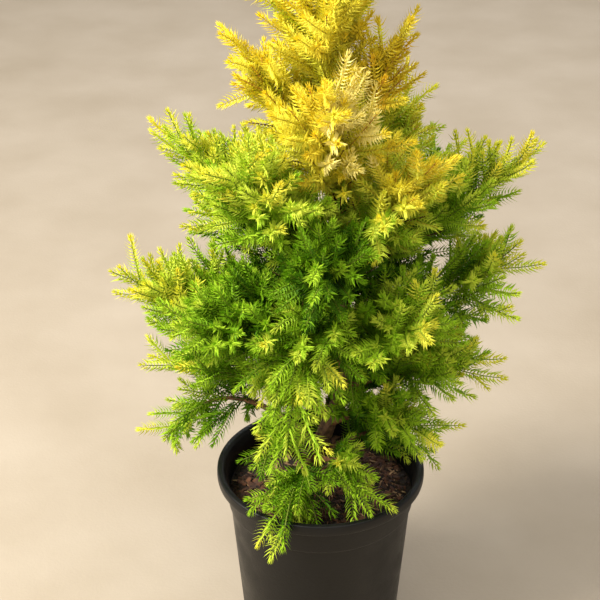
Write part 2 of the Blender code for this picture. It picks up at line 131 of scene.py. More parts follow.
camera = placed("camera", bpy.data.cameras.new("camera"))
camera.data.lens = LENS
camera.data.sensor_width = SENSOR
camera.data.clip_start = CLOSEST
camera.matrix_world = Matrix.Translation(
    (0, -DISTANCE * math.cos(RISE), DISTANCE * math.sin(RISE) + rim_height)
) @ Matrix(camera_axes()).transposed().to_4x4()
bpy.context.scene.camera = camera
print("camera at", [round(x, 3) for x in camera.matrix_world.translation])

# %% [markdown]
# Soft daylight comes from the left and a little from above, and a pale room fills the shadows. One
# large lamp gives the long soft shadow, a weaker one behind lights the edges of the crown, and the
# world does the rest. Yellow and lime are strong colours, and the Standard view keeps them strong.

# %% The light
SHADE = (0.83, 0.88, 1.0)
WARM = (1.0, 0.95, 0.86)
ROOM_COLOUR = (1.0, 0.945, 0.87, 1.0)
ROOM_STRENGTH = 0.48
# name: (place, what it points at, size in metres, power in watts, colour)
LAMPS = {
    "window": ((-1.0, -0.38, 1.25), (0, 0, 0.26), 0.55, 33.5, WARM),
    "skylight": ((0.35, -0.55, 1.75), (0, 0, 0.24), 1.3, 7.5, WARM),
    "back": ((0.25, 1.2, 1.15), (0, 0, 0.30), 0.9, 7.0, SHADE),
}
for name, (place, target, size, power, colour) in LAMPS.items():
    light = bpy.data.lights.new(name, "AREA")
    light.size, light.energy, light.color = size, power, colour
    lamp = placed(name, light)
    lamp.location = place
    lamp.rotation_euler = (Vector(target) - Vector(place)).to_track_quat("-Z", "Y").to_euler()
world = bpy.data.worlds.new("room")
bpy.context.scene.world = world
world.use_nodes = True
sky = world.node_tree.nodes["Background"]
sky.inputs["Color"].default_value = ROOM_COLOUR
sky.inputs["Strength"].default_value = ROOM_STRENGTH
bpy.context.scene.view_settings.view_transform = "Standard"
print(len(LAMPS), "lamps and a pale room")

# %% [markdown]
# Two effects are wanted by several materials, so each is a shader node group with named inputs.
# The first mottles a colour at one scale, as dirt, fading or fibres do. The second makes a relief
# height from two sizes of noise. A group only hands on colours and values: the shader stays in the
# material itself.


# %% Shader groups for mottling and for relief
def new_group(name, inputs, outputs):
    """A shader group with (name, socket type, default) inputs and (name, socket type) outputs."""
    tree = bpy.data.node_groups.new(name, "ShaderNodeTree")
    for label, kind, value in inputs:
        tree.interface.new_socket(label, in_out="INPUT", socket_type=kind).default_value = value
    for label, kind in outputs:
        tree.interface.new_socket(label, in_out="OUTPUT", socket_type=kind)
    return tree, tree.nodes.new("NodeGroupInput"), tree.nodes.new("NodeGroupOutput")


def socket_of(sockets, identifier):
    """The socket with this identifier; several can share a name."""
    return next(s for s in sockets if s.identifier == identifier)


def mottle_group():
    """A noise between two colours, with the mask put out for roughness."""
    tree, taken, given = new_group(
        "mottle",
        [
            ("Dark", "NodeSocketColor", (0, 0, 0, 1)),
            ("Light", "NodeSocketColor", (1, 1, 1, 1)),
            ("Scale", "NodeSocketFloat", 100.0),
            ("From", "NodeSocketFloat", 0.35),
            ("To", "NodeSocketFloat", 0.65),
        ],
        [("Color", "NodeSocketColor"), ("Mask", "NodeSocketFloat")],
    )
    place = tree.nodes.new("ShaderNodeTexCoord")
    clouds = tree.nodes.new("ShaderNodeTexNoise")
    clouds.inputs["Detail"].default_value = 4.0
    spread = tree.nodes.new("ShaderNodeMapRange")
    mix = tree.nodes.new("ShaderNodeMix")
    mix.data_type = "RGBA"
    link = tree.links.new
    link(place.outputs["Object"], clouds.inputs["Vector"])
    link(taken.outputs["Scale"], clouds.inputs["Scale"])
    link(clouds.outputs["Fac"], spread.inputs["Value"])
    link(taken.outputs["From"], spread.inputs["From Min"])
    link(taken.outputs["To"], spread.inputs["From Max"])
    link(spread.outputs["Result"], socket_of(mix.inputs, "Factor_Float"))
    link(taken.outputs["Dark"], socket_of(mix.inputs, "A_Color"))
    link(taken.outputs["Light"], socket_of(mix.inputs, "B_Color"))
    link(socket_of(mix.outputs, "Result_Color"), given.inputs["Color"])
    link(spread.outputs["Result"], given.inputs["Mask"])
    return tree


def relief_group():
    """A height from a coarse and a fine noise, stretched along Z by a share."""
    tree, taken, given = new_group(
        "relief",
        [
            ("Coarse", "NodeSocketFloat", 300.0),
            ("Fine", "NodeSocketFloat", 1200.0),
            ("Fine Share", "NodeSocketFloat", 0.4),
            ("Stretch", "NodeSocketVector", (1, 1, 1)),
        ],
        [("Height", "NodeSocketFloat")],
    )
    place = tree.nodes.new("ShaderNodeTexCoord")
    mapping = tree.nodes.new("ShaderNodeMapping")
    mix = tree.nodes.new("ShaderNodeMix")
    link = tree.links.new
    link(place.outputs["Object"], mapping.inputs["Vector"])
    link(taken.outputs["Stretch"], mapping.inputs["Scale"])
    for label, socket in (("Coarse", "A"), ("Fine", "B")):
        grain = tree.nodes.new("ShaderNodeTexNoise")
        grain.inputs["Detail"].default_value = 3.0
        link(mapping.outputs["Vector"], grain.inputs["Vector"])
        link(taken.outputs[label], grain.inputs["Scale"])
        link(grain.outputs["Fac"], mix.inputs[socket])
    link(taken.outputs["Fine Share"], mix.inputs["Factor"])
    link(mix.outputs["Result"], given.inputs["Height"])
    return tree


MOTTLE, RELIEF = mottle_group(), relief_group()
print("shader groups:", MOTTLE.name, RELIEF.name)


# %% [markdown]
# Every finish on this plant is matt or slightly waxy and grows out of the same few nodes: mottled
# colour, roughness that follows the mottling, and a bump from the relief. One helper builds that
# and the calls below only give numbers. Two more helpers turn a shape into a mesh and hand a
# finished piece to the frame.


# %% Helpers for materials and pieces
def colour_of(red, green, blue):
    """A colour picked as 0 to 255 screen values, as the linear values that a shader takes."""
    shares = (c / 255 for c in (red, green, blue))
    return (*(s / 12.92 if s < 0.04045 else ((s + 0.055) / 1.055) ** 2.4 for s in shares), 1.0)


def grouped(material, tree, values):
    """A group node in the material with these input values."""
    node = material.node_tree.nodes.new("ShaderNodeGroup")
    node.node_tree = tree
    for label, value in values.items():
        node.inputs[label].default_value = value
    return node


def new_material(name):
    """A material, its node tree and its shader."""
    material = bpy.data.materials.new(name)
    material.use_nodes = True
    return material, material.node_tree, material.node_tree.nodes["Principled BSDF"]


def roughen(tree, shader, mottle, roughness):
    """Roughness that follows the mask of a mottle, from the first value to the second."""
    rough = tree.nodes.new("ShaderNodeMapRange")
    rough.inputs["To Min"].default_value, rough.inputs["To Max"].default_value = roughness
    tree.links.new(mottle.outputs["Mask"], rough.inputs["Value"])
    tree.links.new(rough.outputs["Result"], shader.inputs["Roughness"])


def material_of(name, dark, light, scale, roughness, relief=None, depth=0.0, edges=(0.35, 0.65)):
    """Mottled colour and roughness, and a bump of depth metres from the relief values."""
    material, tree, shader = new_material(name)
    values = {"Dark": dark, "Light": light, "Scale": scale, "From": edges[0], "To": edges[1]}
    mottle = grouped(material, MOTTLE, values)
    tree.links.new(mottle.outputs["Color"], shader.inputs["Base Color"])
    roughen(tree, shader, mottle, roughness)
    if relief:
        bump = tree.nodes.new("ShaderNodeBump")
        bump.inputs["Distance"].default_value = depth
        height = grouped(material, RELIEF, relief)
        tree.links.new(height.outputs["Height"], bump.inputs["Height"])
        tree.links.new(bump.outputs["Normal"], shader.inputs["Normal"])
    return material


def keep(obj, slot, *nodes):
    """A finished piece: it rides with the plant and stands for its CAD nodes, which are hidden; slot is not
    used.
    """
    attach(obj, "root")
    if nodes:
        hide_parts(*nodes)
    return obj


def meshed(name, shape):
    """A finished bmesh as a mesh."""
    mesh = bpy.data.meshes.new(name)
    shape.to_mesh(mesh)
    shape.free()
    return mesh


print("helpers for materials and pieces are ready")

# %% [markdown]
# The floor is a plain pale plaster surface, with faint warm clouds so that it isn't a dead flat
# colour. It is only a stage, so it isn't part of the plant.

# %% The floor
FLOOR_SIDE = 6.0
FLOOR_SQUARES = 12
plaster = material_of(
    "plaster",
    colour_of(181, 167, 146),
    colour_of(194, 181, 162),
    scale=9.0,
    roughness=(0.75, 0.9),
    relief={"Coarse": 40.0, "Fine": 400.0, "Fine Share": 0.3},
    depth=0.0006,
    edges=(0.3, 0.7),
)
shape = bmesh.new()
bmesh.ops.create_grid(shape, x_segments=FLOOR_SQUARES, y_segments=FLOOR_SQUARES, size=FLOOR_SIDE / 2)
floor = placed("floor", meshed("floor", shape))
floor.data.materials.append(plaster)
floor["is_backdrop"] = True
print("floor", FLOOR_SIDE, "m a side")

# %% [markdown]
# A nursery pot is blown or moulded from thin black plastic: a rolled lip, a straight collar under
# it that gives the pot its grip, a small step, and a wall that narrows to the foot. It is turned
# from one profile here, because a turned shape has the true roundness that the facets of the CAD
# pot lack. Each point of the profile has a corner radius, which becomes a short arc, because no edge
# of moulded plastic is dead sharp.

# %% The pot's profile
POT_STEPS = 144
WALL = 0.0015
FLOOR_THICKNESS = 0.002
LIP_WIDTH = 0.0048
LIP_HEIGHT = 0.007
COLLAR_FOOT = 0.024
COLLAR_TOP_RADIUS = 0.0598
COLLAR_FOOT_RADIUS = 0.0583
NECK_RADIUS = 0.0570
BASE_RADIUS = 0.0494
CORNER_STEPS = 5
# An arc takes at most this share of the edges that it joins
LONGEST_CUT = 0.45


def rounded(points, steps=CORNER_STEPS):
    """A profile of (radius, height, corner radius) with each corner turned into a short arc."""
    spots = [Vector((r, z)) for r, z, _ in points]
    line = [spots[0]]
    for before, spot, after, corner in zip(spots, spots[1:], spots[2:], (c for _, _, c in points[1:])):
        back, ahead = before - spot, after - spot
        cut = min(corner, LONGEST_CUT * back.length, LONGEST_CUT * ahead.length)
        first, last = spot + back.normalized() * cut, spot + ahead.normalized() * cut
        for i in range(steps + 1):
            share = i / steps
            line.append(first * (1 - share) ** 2 + spot * 2 * share * (1 - share) + last * share**2)
    line.append(spots[-1])
    return line


# (radius, height, corner radius): up the inside, over the lip, down the outside and under the foot
pot_profile = rounded(
    [
        (0.0, FLOOR_THICKNESS, 0),
        (BASE_RADIUS - WALL, FLOOR_THICKNESS, 0.003),
        (NECK_RADIUS - WALL, rim_height - COLLAR_FOOT - 0.002, 0.001),
        (COLLAR_FOOT_RADIUS - WALL, rim_height - COLLAR_FOOT, 0.001),
        (COLLAR_TOP_RADIUS - WALL, rim_height - LIP_HEIGHT, 0.001),
        (rim_radius - LIP_WIDTH, rim_height - 0.0016, 0.0012),
        (rim_radius - 0.72 * LIP_WIDTH, rim_height, 0.0012),
        (rim_radius - 0.0002, rim_height, 0.0024),
        (rim_radius, rim_height - 0.0045, 0.001),
        (rim_radius - 0.0004, rim_height - LIP_HEIGHT, 0.0008),
        (COLLAR_TOP_RADIUS + 0.0003, rim_height - LIP_HEIGHT - 0.0004, 0.0006),
        (COLLAR_TOP_RADIUS, rim_height - LIP_HEIGHT - 0.002, 0.0006),
        (COLLAR_FOOT_RADIUS, rim_height - COLLAR_FOOT + 0.0006, 0.0006),
        (COLLAR_FOOT_RADIUS - 0.0002, rim_height - COLLAR_FOOT - 0.0002, 0.0005),
        (NECK_RADIUS, rim_height - COLLAR_FOOT - 0.0012, 0.0006),
        (BASE_RADIUS + 0.0004, 0.006, 0.003),
        (BASE_RADIUS, 0.0016, 0.0014),
        (BASE_RADIUS - 0.0022, 0.0, 0.0008),
        (BASE_RADIUS - 0.0050, 0.0, 0.0008),
        (BASE_RADIUS - 0.0062, 0.0010, 0.0008),
        (0.0, 0.0010, 0),
    ]
)
print(len(pot_profile), "points in the pot's profile")

# %% [markdown]
# The profile is spun about the pot's axis, and its doubles are merged where the turn closes. The
# drain holes are cut by six short rods in one collection, so a single Boolean does them all. The
# result is then made a plain mesh, because a finished piece carries no modifier to the frame.

# %% Turn the pot and drill it
WELD = 1e-6


def turned(name, profile, steps):
    """A closed profile of (radius, height) points spun about +Z, as a welded mesh."""
    mesh = bmesh.new()
    ring = [mesh.verts.new((p.x, 0, p.y)) for p in profile]
    edges = [mesh.edges.new(pair) for pair in zip(ring, ring[1:])]
    bmesh.ops.spin(
        mesh,
        geom=ring + edges,
        cent=(0, 0, 0),
        axis=(0, 0, 1),
        angle=2 * math.pi,
        steps=steps,
        use_merge=True,
    )
    bmesh.ops.remove_doubles(mesh, verts=mesh.verts, dist=WELD)
    bmesh.ops.recalc_face_normals(mesh, faces=mesh.faces)
    return placed(name, meshed(name, mesh))


def finished(obj):
    """The object's mesh as its modifiers leave it, which takes their place."""
    bpy.context.view_layer.update()
    graph = bpy.context.evaluated_depsgraph_get()
    plain = bpy.data.meshes.new_from_object(obj.evaluated_get(graph))
    obj.modifiers.clear()
    obj.data = plain
    plain.name = obj.name
    return plain


DRAIN_HOLES = 6
DRAIN_RADIUS = 0.004
DRAIN_RING = 0.036
DRAIN_SIDES = 28
SHARP_FROM = math.radians(42)
pot = turned("nursery_pot", pot_profile, POT_STEPS)
drills = bpy.data.collections.new("drills")
for i in range(DRAIN_HOLES):
    turn = 2 * math.pi * (i + 0.5) / DRAIN_HOLES
    drill = bmesh.new()
    bmesh.ops.create_cone(
        drill,
        cap_ends=True,
        segments=DRAIN_SIDES,
        radius1=DRAIN_RADIUS,
        radius2=DRAIN_RADIUS,
        depth=4 * FLOOR_THICKNESS,
        matrix=Matrix.Translation(
            (DRAIN_RING * math.cos(turn), DRAIN_RING * math.sin(turn), FLOOR_THICKNESS / 2)
        ),
    )
    drills.objects.link(bpy.data.objects.new("drill", meshed("drill", drill)))
drain = pot.modifiers.new("Drain", "BOOLEAN")
drain.operation, drain.operand_type, drain.collection = "DIFFERENCE", "COLLECTION", drills
pot_mesh = finished(pot)
for rod in list(drills.objects):
    bpy.data.objects.remove(rod, do_unlink=True)
bpy.data.collections.remove(drills)
pot_mesh.shade_smooth()
pot_mesh.set_sharp_from_angle(angle=SHARP_FROM)
print("pot", len(pot_mesh.polygons), "faces")

# %% [markdown]
# Black plastic isn't black: it is a very dark grey with a soft sheen, and handling leaves it dusty
# and a little scuffed. The mottle makes faint dusty clouds, and the relief the slight orange peel
# of a cheap mould.

# %% The pot's plastic
PLASTIC_SPECULAR = 0.3
plastic = material_of(
    "black_plastic",
    (0.0045, 0.0045, 0.0047, 1.0),
    (0.009, 0.0088, 0.0085, 1.0),
    scale=60.0,
    roughness=(0.34, 0.5),
    relief={"Coarse": 500.0, "Fine": 2600.0, "Fine Share": 0.35},
    depth=0.00012,
)
plastic.node_tree.nodes["Principled BSDF"].inputs["Specular IOR Level"].default_value = PLASTIC_SPECULAR
pot_mesh.materials.clear()
pot_mesh.materials.append(plastic)
keep(pot, "pot", "pot")
print("pot kept as", pot.name)

# %% [markdown]
# The trunk and its limbs come first, because everything else grows on them. The trunk is a tapering
# stem that sways to one side and back. Each limb leaves it at a named height and bearing and runs
# in one curve to its tip; the first share of it is bare bough and the rest is the stem of a mass of
# foliage. These are the same sizes and the same rule as the solids have, so the dressed limbs lie
# where the solid ones do.

# %% Sizes of trunk and limbs
SEAT = 0.0003
SOIL_TOP = rim_height - 0.016
TRUNK_TOP = rim_height + 0.236
TRUNK_FOOT_X, TRUNK_BEND_X, TRUNK_TIP_X = -0.006, 0.016, 0.003
TRUNK_BEND = 0.35
TRUNK_SIDE_SWAY = 0.2
TRUNK_FOOT_RADIUS = 0.0052
TRUNK_TIP_RADIUS = 0.0018
FLARE_RADIUS = 0.0034
FLARE_HEIGHT = 0.004
BOUGH_RADIUS = 0.0023
STEM_TIP_RADIUS = 0.0007
LIMB_SAMPLES = 28
LONGEST_SPRAY = 0.044
# A limb's foot lies at this share of the trunk's radius, and its stem ends short of the tip by this
# share of the longest spray
FOOT_IN_TRUNK = 0.7
STEM_ENDS_BEFORE = 0.8
# name: (bearing in degrees, height of the foot above the rim, reach from the axis, height of the
# tip above the rim, arch of the middle, longest side shoot, share of the limb that is bare)
LIMBS = {
    "skirt_front": (-108, 0.004, 0.074, -0.040, 0.044, 0.036, 0.24),
    "skirt_left": (-152, 0.000, 0.062, 0.010, 0.020, 0.032, 0.24),
    "skirt_right": (-62, 0.002, 0.060, 0.002, 0.020, 0.034, 0.24),
    "skirt_side": (6, 0.006, 0.068, 0.006, 0.018, 0.034, 0.24),
    "skirt_rear": (78, 0.010, 0.088, 0.020, 0.022, 0.040, 0.24),
    "low_left": (150, 0.012, 0.120, -0.020, 0.052, 0.038, 0.36),
    "low_side": (162, 0.034, 0.116, 0.052, 0.016, 0.046, 0.30),
    "low_right": (-34, 0.030, 0.082, 0.040, 0.022, 0.046, 0.22),
    "low_rear_right": (34, 0.040, 0.108, 0.068, 0.006, 0.052, 0.20),
    "low_rear_left": (112, 0.046, 0.112, 0.078, 0.006, 0.052, 0.20),
    "weeping_front": (-103, 0.068, 0.090, 0.078, 0.070, 0.052, 0.18),
    "middle_side": (-20, 0.056, 0.102, 0.094, 0.004, 0.050, 0.18),
    "middle_left": (184, 0.072, 0.120, 0.134, -0.004, 0.058, 0.18),
    "middle_front_left": (-142, 0.086, 0.102, 0.134, 0.004, 0.058, 0.18),
    "middle_front_right": (-52, 0.086, 0.094, 0.140, 0.004, 0.058, 0.18),
    "middle_front": (-92, 0.122, 0.086, 0.182, 0.004, 0.058, 0.18),
    "middle_right": (-6, 0.092, 0.118, 0.160, -0.004, 0.056, 0.18),
    "middle_rear_right": (46, 0.100, 0.114, 0.176, -0.004, 0.060, 0.18),
    "middle_rear_left": (128, 0.108, 0.112, 0.176, -0.004, 0.060, 0.18),
    "upper_left": (165, 0.142, 0.094, 0.212, -0.004, 0.048, 0.16),
    "upper_front_left": (-128, 0.150, 0.078, 0.224, -0.004, 0.052, 0.16),
    "upper_front_right": (-38, 0.156, 0.076, 0.224, -0.004, 0.050, 0.16),
    "upper_right": (4, 0.134, 0.128, 0.214, -0.004, 0.054, 0.16),
    "upper_rear": (52, 0.164, 0.092, 0.230, -0.004, 0.054, 0.16),
    "top_left": (176, 0.196, 0.052, 0.288, -0.004, 0.048, 0.14),
    "top_right": (-2, 0.202, 0.048, 0.292, -0.004, 0.046, 0.14),
    "top_front": (-86, 0.184, 0.054, 0.268, -0.004, 0.050, 0.14),
    "top_rear": (100, 0.190, 0.060, 0.276, -0.004, 0.050, 0.14),
}
# How far shoots turn upwards; those of the lowest limbs lie flatter
LOW_RISES = {"skirt_front": -0.1, "skirt_left": 0.0, "skirt_right": 0.0, "skirt_side": 0.1, "low_left": 0.1}
LEADER = "leader"
LEADER_REACH = 0.362
LEADER_GIRTH = 0.044
print(len(LIMBS), "limbs and the leader")

# %% [markdown]
# A limb is one curve with a single bend: it is worked out from its foot, its tip and how much its
# middle arches, and it is kept as evenly spaced points. Whatever grows on it asks for the place and
# the direction at a share of its run.

# %% Where trunk and limbs run
NEARLY_UPRIGHT = 0.05


def side_of(way, turn):
    """A direction square to way, turned about it."""
    level = way.cross(UP)
    if level.length < NEARLY_UPRIGHT:
        level = Vector((1, 0, 0)) - way * way.x
    level.normalize()
    return level * math.cos(turn) + level.cross(way) * math.sin(turn)


def trunk_sway(share):
    """How far the trunk's middle lies to +X and +Y at a share of its height."""
    if share < TRUNK_BEND:
        foot, way = TRUNK_FOOT_X, share / TRUNK_BEND
    else:
        foot, way = TRUNK_TIP_X, (1 - share) / (1 - TRUNK_BEND)
    sway = foot + (TRUNK_BEND_X - foot) * math.sin(math.pi / 2 * way) ** 2
    return sway, TRUNK_SIDE_SWAY * TRUNK_BEND_X * math.sin(2 * math.pi * share)


def trunk_axis(height):
    """The trunk's middle at a height above the ground."""
    share = (height - SOIL_TOP - SEAT) / (TRUNK_TOP - SOIL_TOP - SEAT)
    return Vector((*trunk_sway(min(max(share, 0.0), 1.0)), height))


def trunk_radius(height):
    """The trunk's radius at a height: a taper, with a flare over the roots."""
    up = max(height - SOIL_TOP - SEAT, 0.0)
    share = min(up / (TRUNK_TOP - SOIL_TOP - SEAT), 1.0)
    taper = TRUNK_FOOT_RADIUS + (TRUNK_TIP_RADIUS - TRUNK_FOOT_RADIUS) * share
    return taper + FLARE_RADIUS * math.exp(-up / FLARE_HEIGHT)


def limb_line(name):
    """Evenly spaced points of a limb, from its foot on the trunk to the end of its stem."""
    if name == LEADER:
        foot = trunk_axis(TRUNK_TOP)
        tip = Vector((foot.x, foot.y, rim_height + LEADER_REACH - STEM_ENDS_BEFORE * LONGEST_SPRAY))
        bend = (foot + tip) / 2
    else:
        bearing, foot_height, reach, tip_height, arch, _, _ = LIMBS[name]
        turn = math.radians(bearing)
        out = Vector((math.cos(turn), math.sin(turn), 0.0))
        root = trunk_axis(rim_height + foot_height)
        end = out * reach + Vector((0, 0, rim_height + tip_height))
        bend = (root + end) / 2 + Vector((0, 0, arch))
        foot = root + (bend - root).normalized() * FOOT_IN_TRUNK * trunk_radius(root.z)
        tip = end - (end - bend).normalized() * STEM_ENDS_BEFORE * LONGEST_SPRAY
    shares = (i / (LIMB_SAMPLES - 1) for i in range(LIMB_SAMPLES))
    return [foot * (1 - s) ** 2 + bend * 2 * s * (1 - s) + tip * s**2 for s in shares]


def along(line, share):
    """The point at a share of the line, and the way it runs there."""
    place = share * (len(line) - 1)
    i = min(int(place), len(line) - 2)
    step = line[i + 1] - line[i]
    return line[i] + step * (place - i), step.normalized()


def length_of(line):
    """How long a line of points is."""
    return sum((b - a).length for a, b in zip(line, line[1:]))


LINES = {name: limb_line(name) for name in [*LIMBS, LEADER]}
print("limbs run", round(sum(map(length_of, LINES.values())), 2), "m in all")

# %% [markdown]
# Young cypress bark is thin, red-brown and splits lengthwise into narrow strips. It is real relief
# here: a tube is wrapped round each limb and every point of it is moved in or out by noise that
# is stretched along the limb. The relief shrinks with the limb, so a thin stem stays smooth. At the
# foot the trunk flares a little, and at its top it runs into the leader.

# %% Bark with relief
BARK_DEPTH = 0.16
YOUNG_BARK_DEPTH = BARK_DEPTH * 0.7
STRIP_WIDTH = 0.0016
STRIP_LENGTH = 0.011
# Each is (how much finer than the strips, how deep beside them)
FINE_STRIPS = (2.3, 0.5)
CRACKS = (1.4, 1.2)
CRACKS_APART = Vector((7, 3, 1))
BARK_SWELL = 0.3


def bark_tube(mesh, points, radii, sides, depth):
    """Adds a closed tube along points, its surface split into strips, to a bmesh."""
    rings, run = [], 0.0
    for i, (place, radius) in enumerate(zip(points, radii)):
        ahead = points[min(i + 1, len(points) - 1)] - points[max(i - 1, 0)]
        run += (points[i] - points[i - 1]).length if i else 0.0
        ahead.normalize()
        across = (Vector((1, 0, 0)) - ahead * ahead.x).normalized()
        other = ahead.cross(across)
        ring = []
        for j in range(sides):
            turn = 2 * math.pi * j / sides
            out = across * math.cos(turn) + other * math.sin(turn)
            spot = out * (radius / STRIP_WIDTH) + Vector((0, 0, run / STRIP_LENGTH))
            strips = noise.noise(spot) + FINE_STRIPS[1] * noise.noise(spot * FINE_STRIPS[0])
            crack = -abs(noise.noise(spot * CRACKS[0] + CRACKS_APART)) * CRACKS[1]
            relief = 1 + depth * (strips + crack + BARK_SWELL)
            ring.append(mesh.verts.new(place + out * radius * relief))
        rings.append(ring)
    for lower, upper in zip(rings, rings[1:]):
        for j in range(sides):
            k = (j + 1) % sides
            mesh.faces.new((lower[j], lower[k], upper[k], upper[j]))
    mesh.faces.new(rings[0][::-1])
    mesh.faces.new(rings[-1])


def bark_piece(name, shape):
    """The finished bmesh as an object, smooth, with its faces outwards."""
    bmesh.ops.recalc_face_normals(shape, faces=shape.faces)
    obj = placed(name, meshed(name, shape))
    obj.data.shade_smooth()
    return obj


TRUNK_RINGS = 260
TRUNK_SIDES = 36
TRUNK_IN_SOIL = 0.001
shape = bmesh.new()
foot = SOIL_TOP - TRUNK_IN_SOIL
heights = [foot + (TRUNK_TOP - foot) * i / (TRUNK_RINGS - 1) for i in range(TRUNK_RINGS)]
axis, radii = [trunk_axis(z) for z in heights], [trunk_radius(z) for z in heights]
bark_tube(shape, axis, radii, TRUNK_SIDES, BARK_DEPTH)
trunk = bark_piece("trunk_bark", shape)
print("trunk", len(trunk.data.polygons), "faces")

BOUGH_RINGS = 70
BOUGH_SIDES = 10
FOOT_SWELL = 0.5
SWELL_FADES = 26
shape = bmesh.new()
for name, line in LINES.items():
    start = TRUNK_TIP_RADIUS if name == LEADER else BOUGH_RADIUS
    shares = [i / (BOUGH_RINGS - 1) for i in range(BOUGH_RINGS)]
    swell = 0.0 if name == LEADER else FOOT_SWELL
    radii = [
        start + (STEM_TIP_RADIUS - start) * s + start * swell * math.exp(-s * SWELL_FADES)
        for s in shares
    ]
    points = [along(line, s)[0] for s in shares]
    bark_tube(shape, points, radii, BOUGH_SIDES, YOUNG_BARK_DEPTH)
boughs = bark_piece("bough_bark", shape)
print("boughs", len(boughs.data.polygons), "faces")

# %% [markdown]
# The bark's colour is mottled between a dark red-brown and a paler, greyer brown. The trunk's
# browns are partly the bark's own colour and partly painted shade, darkened for the shade under
# the crown.

# %% The bark's finish
bark = material_of(
    "cypress_bark",
    # Partly painted shade: these browns are darkened for the shade under the crown
    colour_of(66, 45, 32),
    colour_of(122, 90, 64),
    scale=420.0,
    roughness=(0.7, 0.92),
    relief={"Coarse": 700.0, "Fine": 2600.0, "Fine Share": 0.4, "Stretch": (1.0, 1.0, 0.2)},
    depth=0.0003,
)
young_bark = material_of(
    "young_bark",
    colour_of(92, 60, 38),
    colour_of(142, 98, 62),
    scale=600.0,
    roughness=(0.6, 0.85),
    relief={"Coarse": 900.0, "Fine": 3000.0, "Fine Share": 0.4, "Stretch": (1.0, 1.0, 0.3)},
    depth=0.0002,
)
for obj, finish, nodes in (
    (trunk, bark, ["trunk"]),
    (boughs, young_bark, ["bough_" + name for name in LIMBS]),
):
    obj.data.materials.append(finish)
    keep(obj, "bark", *nodes)
print("bark on trunk and", len(LIMBS), "boughs")

# %% [markdown]
# Now the rule by which a mass grows. A stem carries a side shoot at every station, turned by the
# golden angle from the last one, so that no shoot shades the next. These are the same draws from
# the same seeds as in the solids. The finer plant has one more shoot between every two, except in
# the few masses that the sky shows through, and a few shoots on the bare part of each bough, which
# fill the shaded inside of the crown.

# %% The side shoots of a stem
STATION = 0.0050
STEM_SPAN = (0.06, 0.97)
GOLDEN_ANGLE = math.radians(137.5)
TURN_JITTER = 0.3
SHOOT_SIZES = (0.74, 0.98, 0.92, 0.72, 0.50)
SIZE_JITTER = (0.82, 1.12)
SHOOT_ANGLES = (math.radians(54), math.radians(34))
SHOOT_RISE = 0.42
SHORTEST_SHOOT = 0.014


def shoots_of(name, line):
    """The side shoots of a stem as (root, way, length, share along the limb), lowest first."""
    chance = random.Random(name)
    split = 0.0 if name == LEADER else LIMBS[name][6]
    girth = LEADER_GIRTH if name == LEADER else LIMBS[name][5]
    start = split + STEM_SPAN[0]
    count = int((1 - start) * length_of(line) / STATION)
    turn = chance.uniform(0, 2 * math.pi)
    for i in range(count):
        inner = i / (count - 1)
        share = start + (STEM_SPAN[1] - start) * inner
        turn += GOLDEN_ANGLE + chance.uniform(-TURN_JITTER, TURN_JITTER)
        root, way = along(line, share)
        lean = SHOOT_ANGLES[0] + (SHOOT_ANGLES[1] - SHOOT_ANGLES[0]) * inner
        out = way * math.cos(lean) + side_of(way, turn) * math.sin(lean)
        out = (out + Vector((0, 0, LOW_RISES.get(name, SHOOT_RISE)))).normalized()
        size = np.interp(inner, np.linspace(0, 1, len(SHOOT_SIZES)), SHOOT_SIZES)
        size *= girth * chance.uniform(*SIZE_JITTER)
        yield root, out, max(SHORTEST_SHOOT, float(size)), share


BETWEEN = 1
BETWEEN_SIZES = (0.75, 1.0)
BETWEEN_LEANS = (0.75, 1.05)
BETWEEN_RISES = (0, 0.5)
SPARSE = ("low_left", "upper_right", "middle_right")
INNER_SHOOTS = 5
INNER_SIZES = (0.6, 0.9)
INNER_FROM = 0.3
INNER_LEAN = math.radians(64)
INNER_RISE = 0.7


def fuller(name, line):
    """The source's shoots, more between each two of them, and the inner shoots of a bough."""
    chance = random.Random(name + " between")
    found = list(shoots_of(name, line))
    for (_, first, one, a), (_, _, other, b) in zip(found, found[1:]):
        for i in range(1, 1 + (0 if name in SPARSE else BETWEEN)):
            step = i / (BETWEEN + 1)
            root, way = along(line, a + (b - a) * step)
            aside = first - way * first.dot(way)
            lean = math.atan2(aside.length, first.dot(way)) * chance.uniform(*BETWEEN_LEANS)
            turned = Matrix.Rotation(GOLDEN_ANGLE * step, 3, way) @ aside.normalized()
            out = way * math.cos(lean) + turned * math.sin(lean)
            rise = LOW_RISES.get(name, SHOOT_RISE)
            out = (out + UP * rise * chance.uniform(*BETWEEN_RISES)).normalized()
            length = (one + (other - one) * step) * chance.uniform(*BETWEEN_SIZES)
            found.append((root, out, length, a + (b - a) * step))
    if name == LEADER or name in LOW_RISES:
        return found
    girth, split = LIMBS[name][5:]
    for i in range(INNER_SHOOTS):
        share = split * (INNER_FROM + (1 - INNER_FROM) * i / INNER_SHOOTS)
        root, way = along(line, share)
        turn = math.pi / 2 + GOLDEN_ANGLE * i
        out = way * math.cos(INNER_LEAN) + side_of(way, turn) * math.sin(INNER_LEAN)
        out = (out + UP * INNER_RISE).normalized()
        found.append((root, out, girth * chance.uniform(*INNER_SIZES), share))
    return found


SHOOTS = {name: fuller(name, line) for name, line in LINES.items()}
print("side shoots:", sum(map(len, SHOOTS.values())))

# %% [markdown]
# A twig mustn't run through the trunk, the pot or the compost, and each mass keeps to its own space,
# which is the space nearest to its own limb. The solids leave a clear margin between two masses.
# The needles may reach a few millimetres over it, so that no straight gap shows in the crown. The
# crown as a whole reaches no further than the solids do, so a twig also ends at their box.

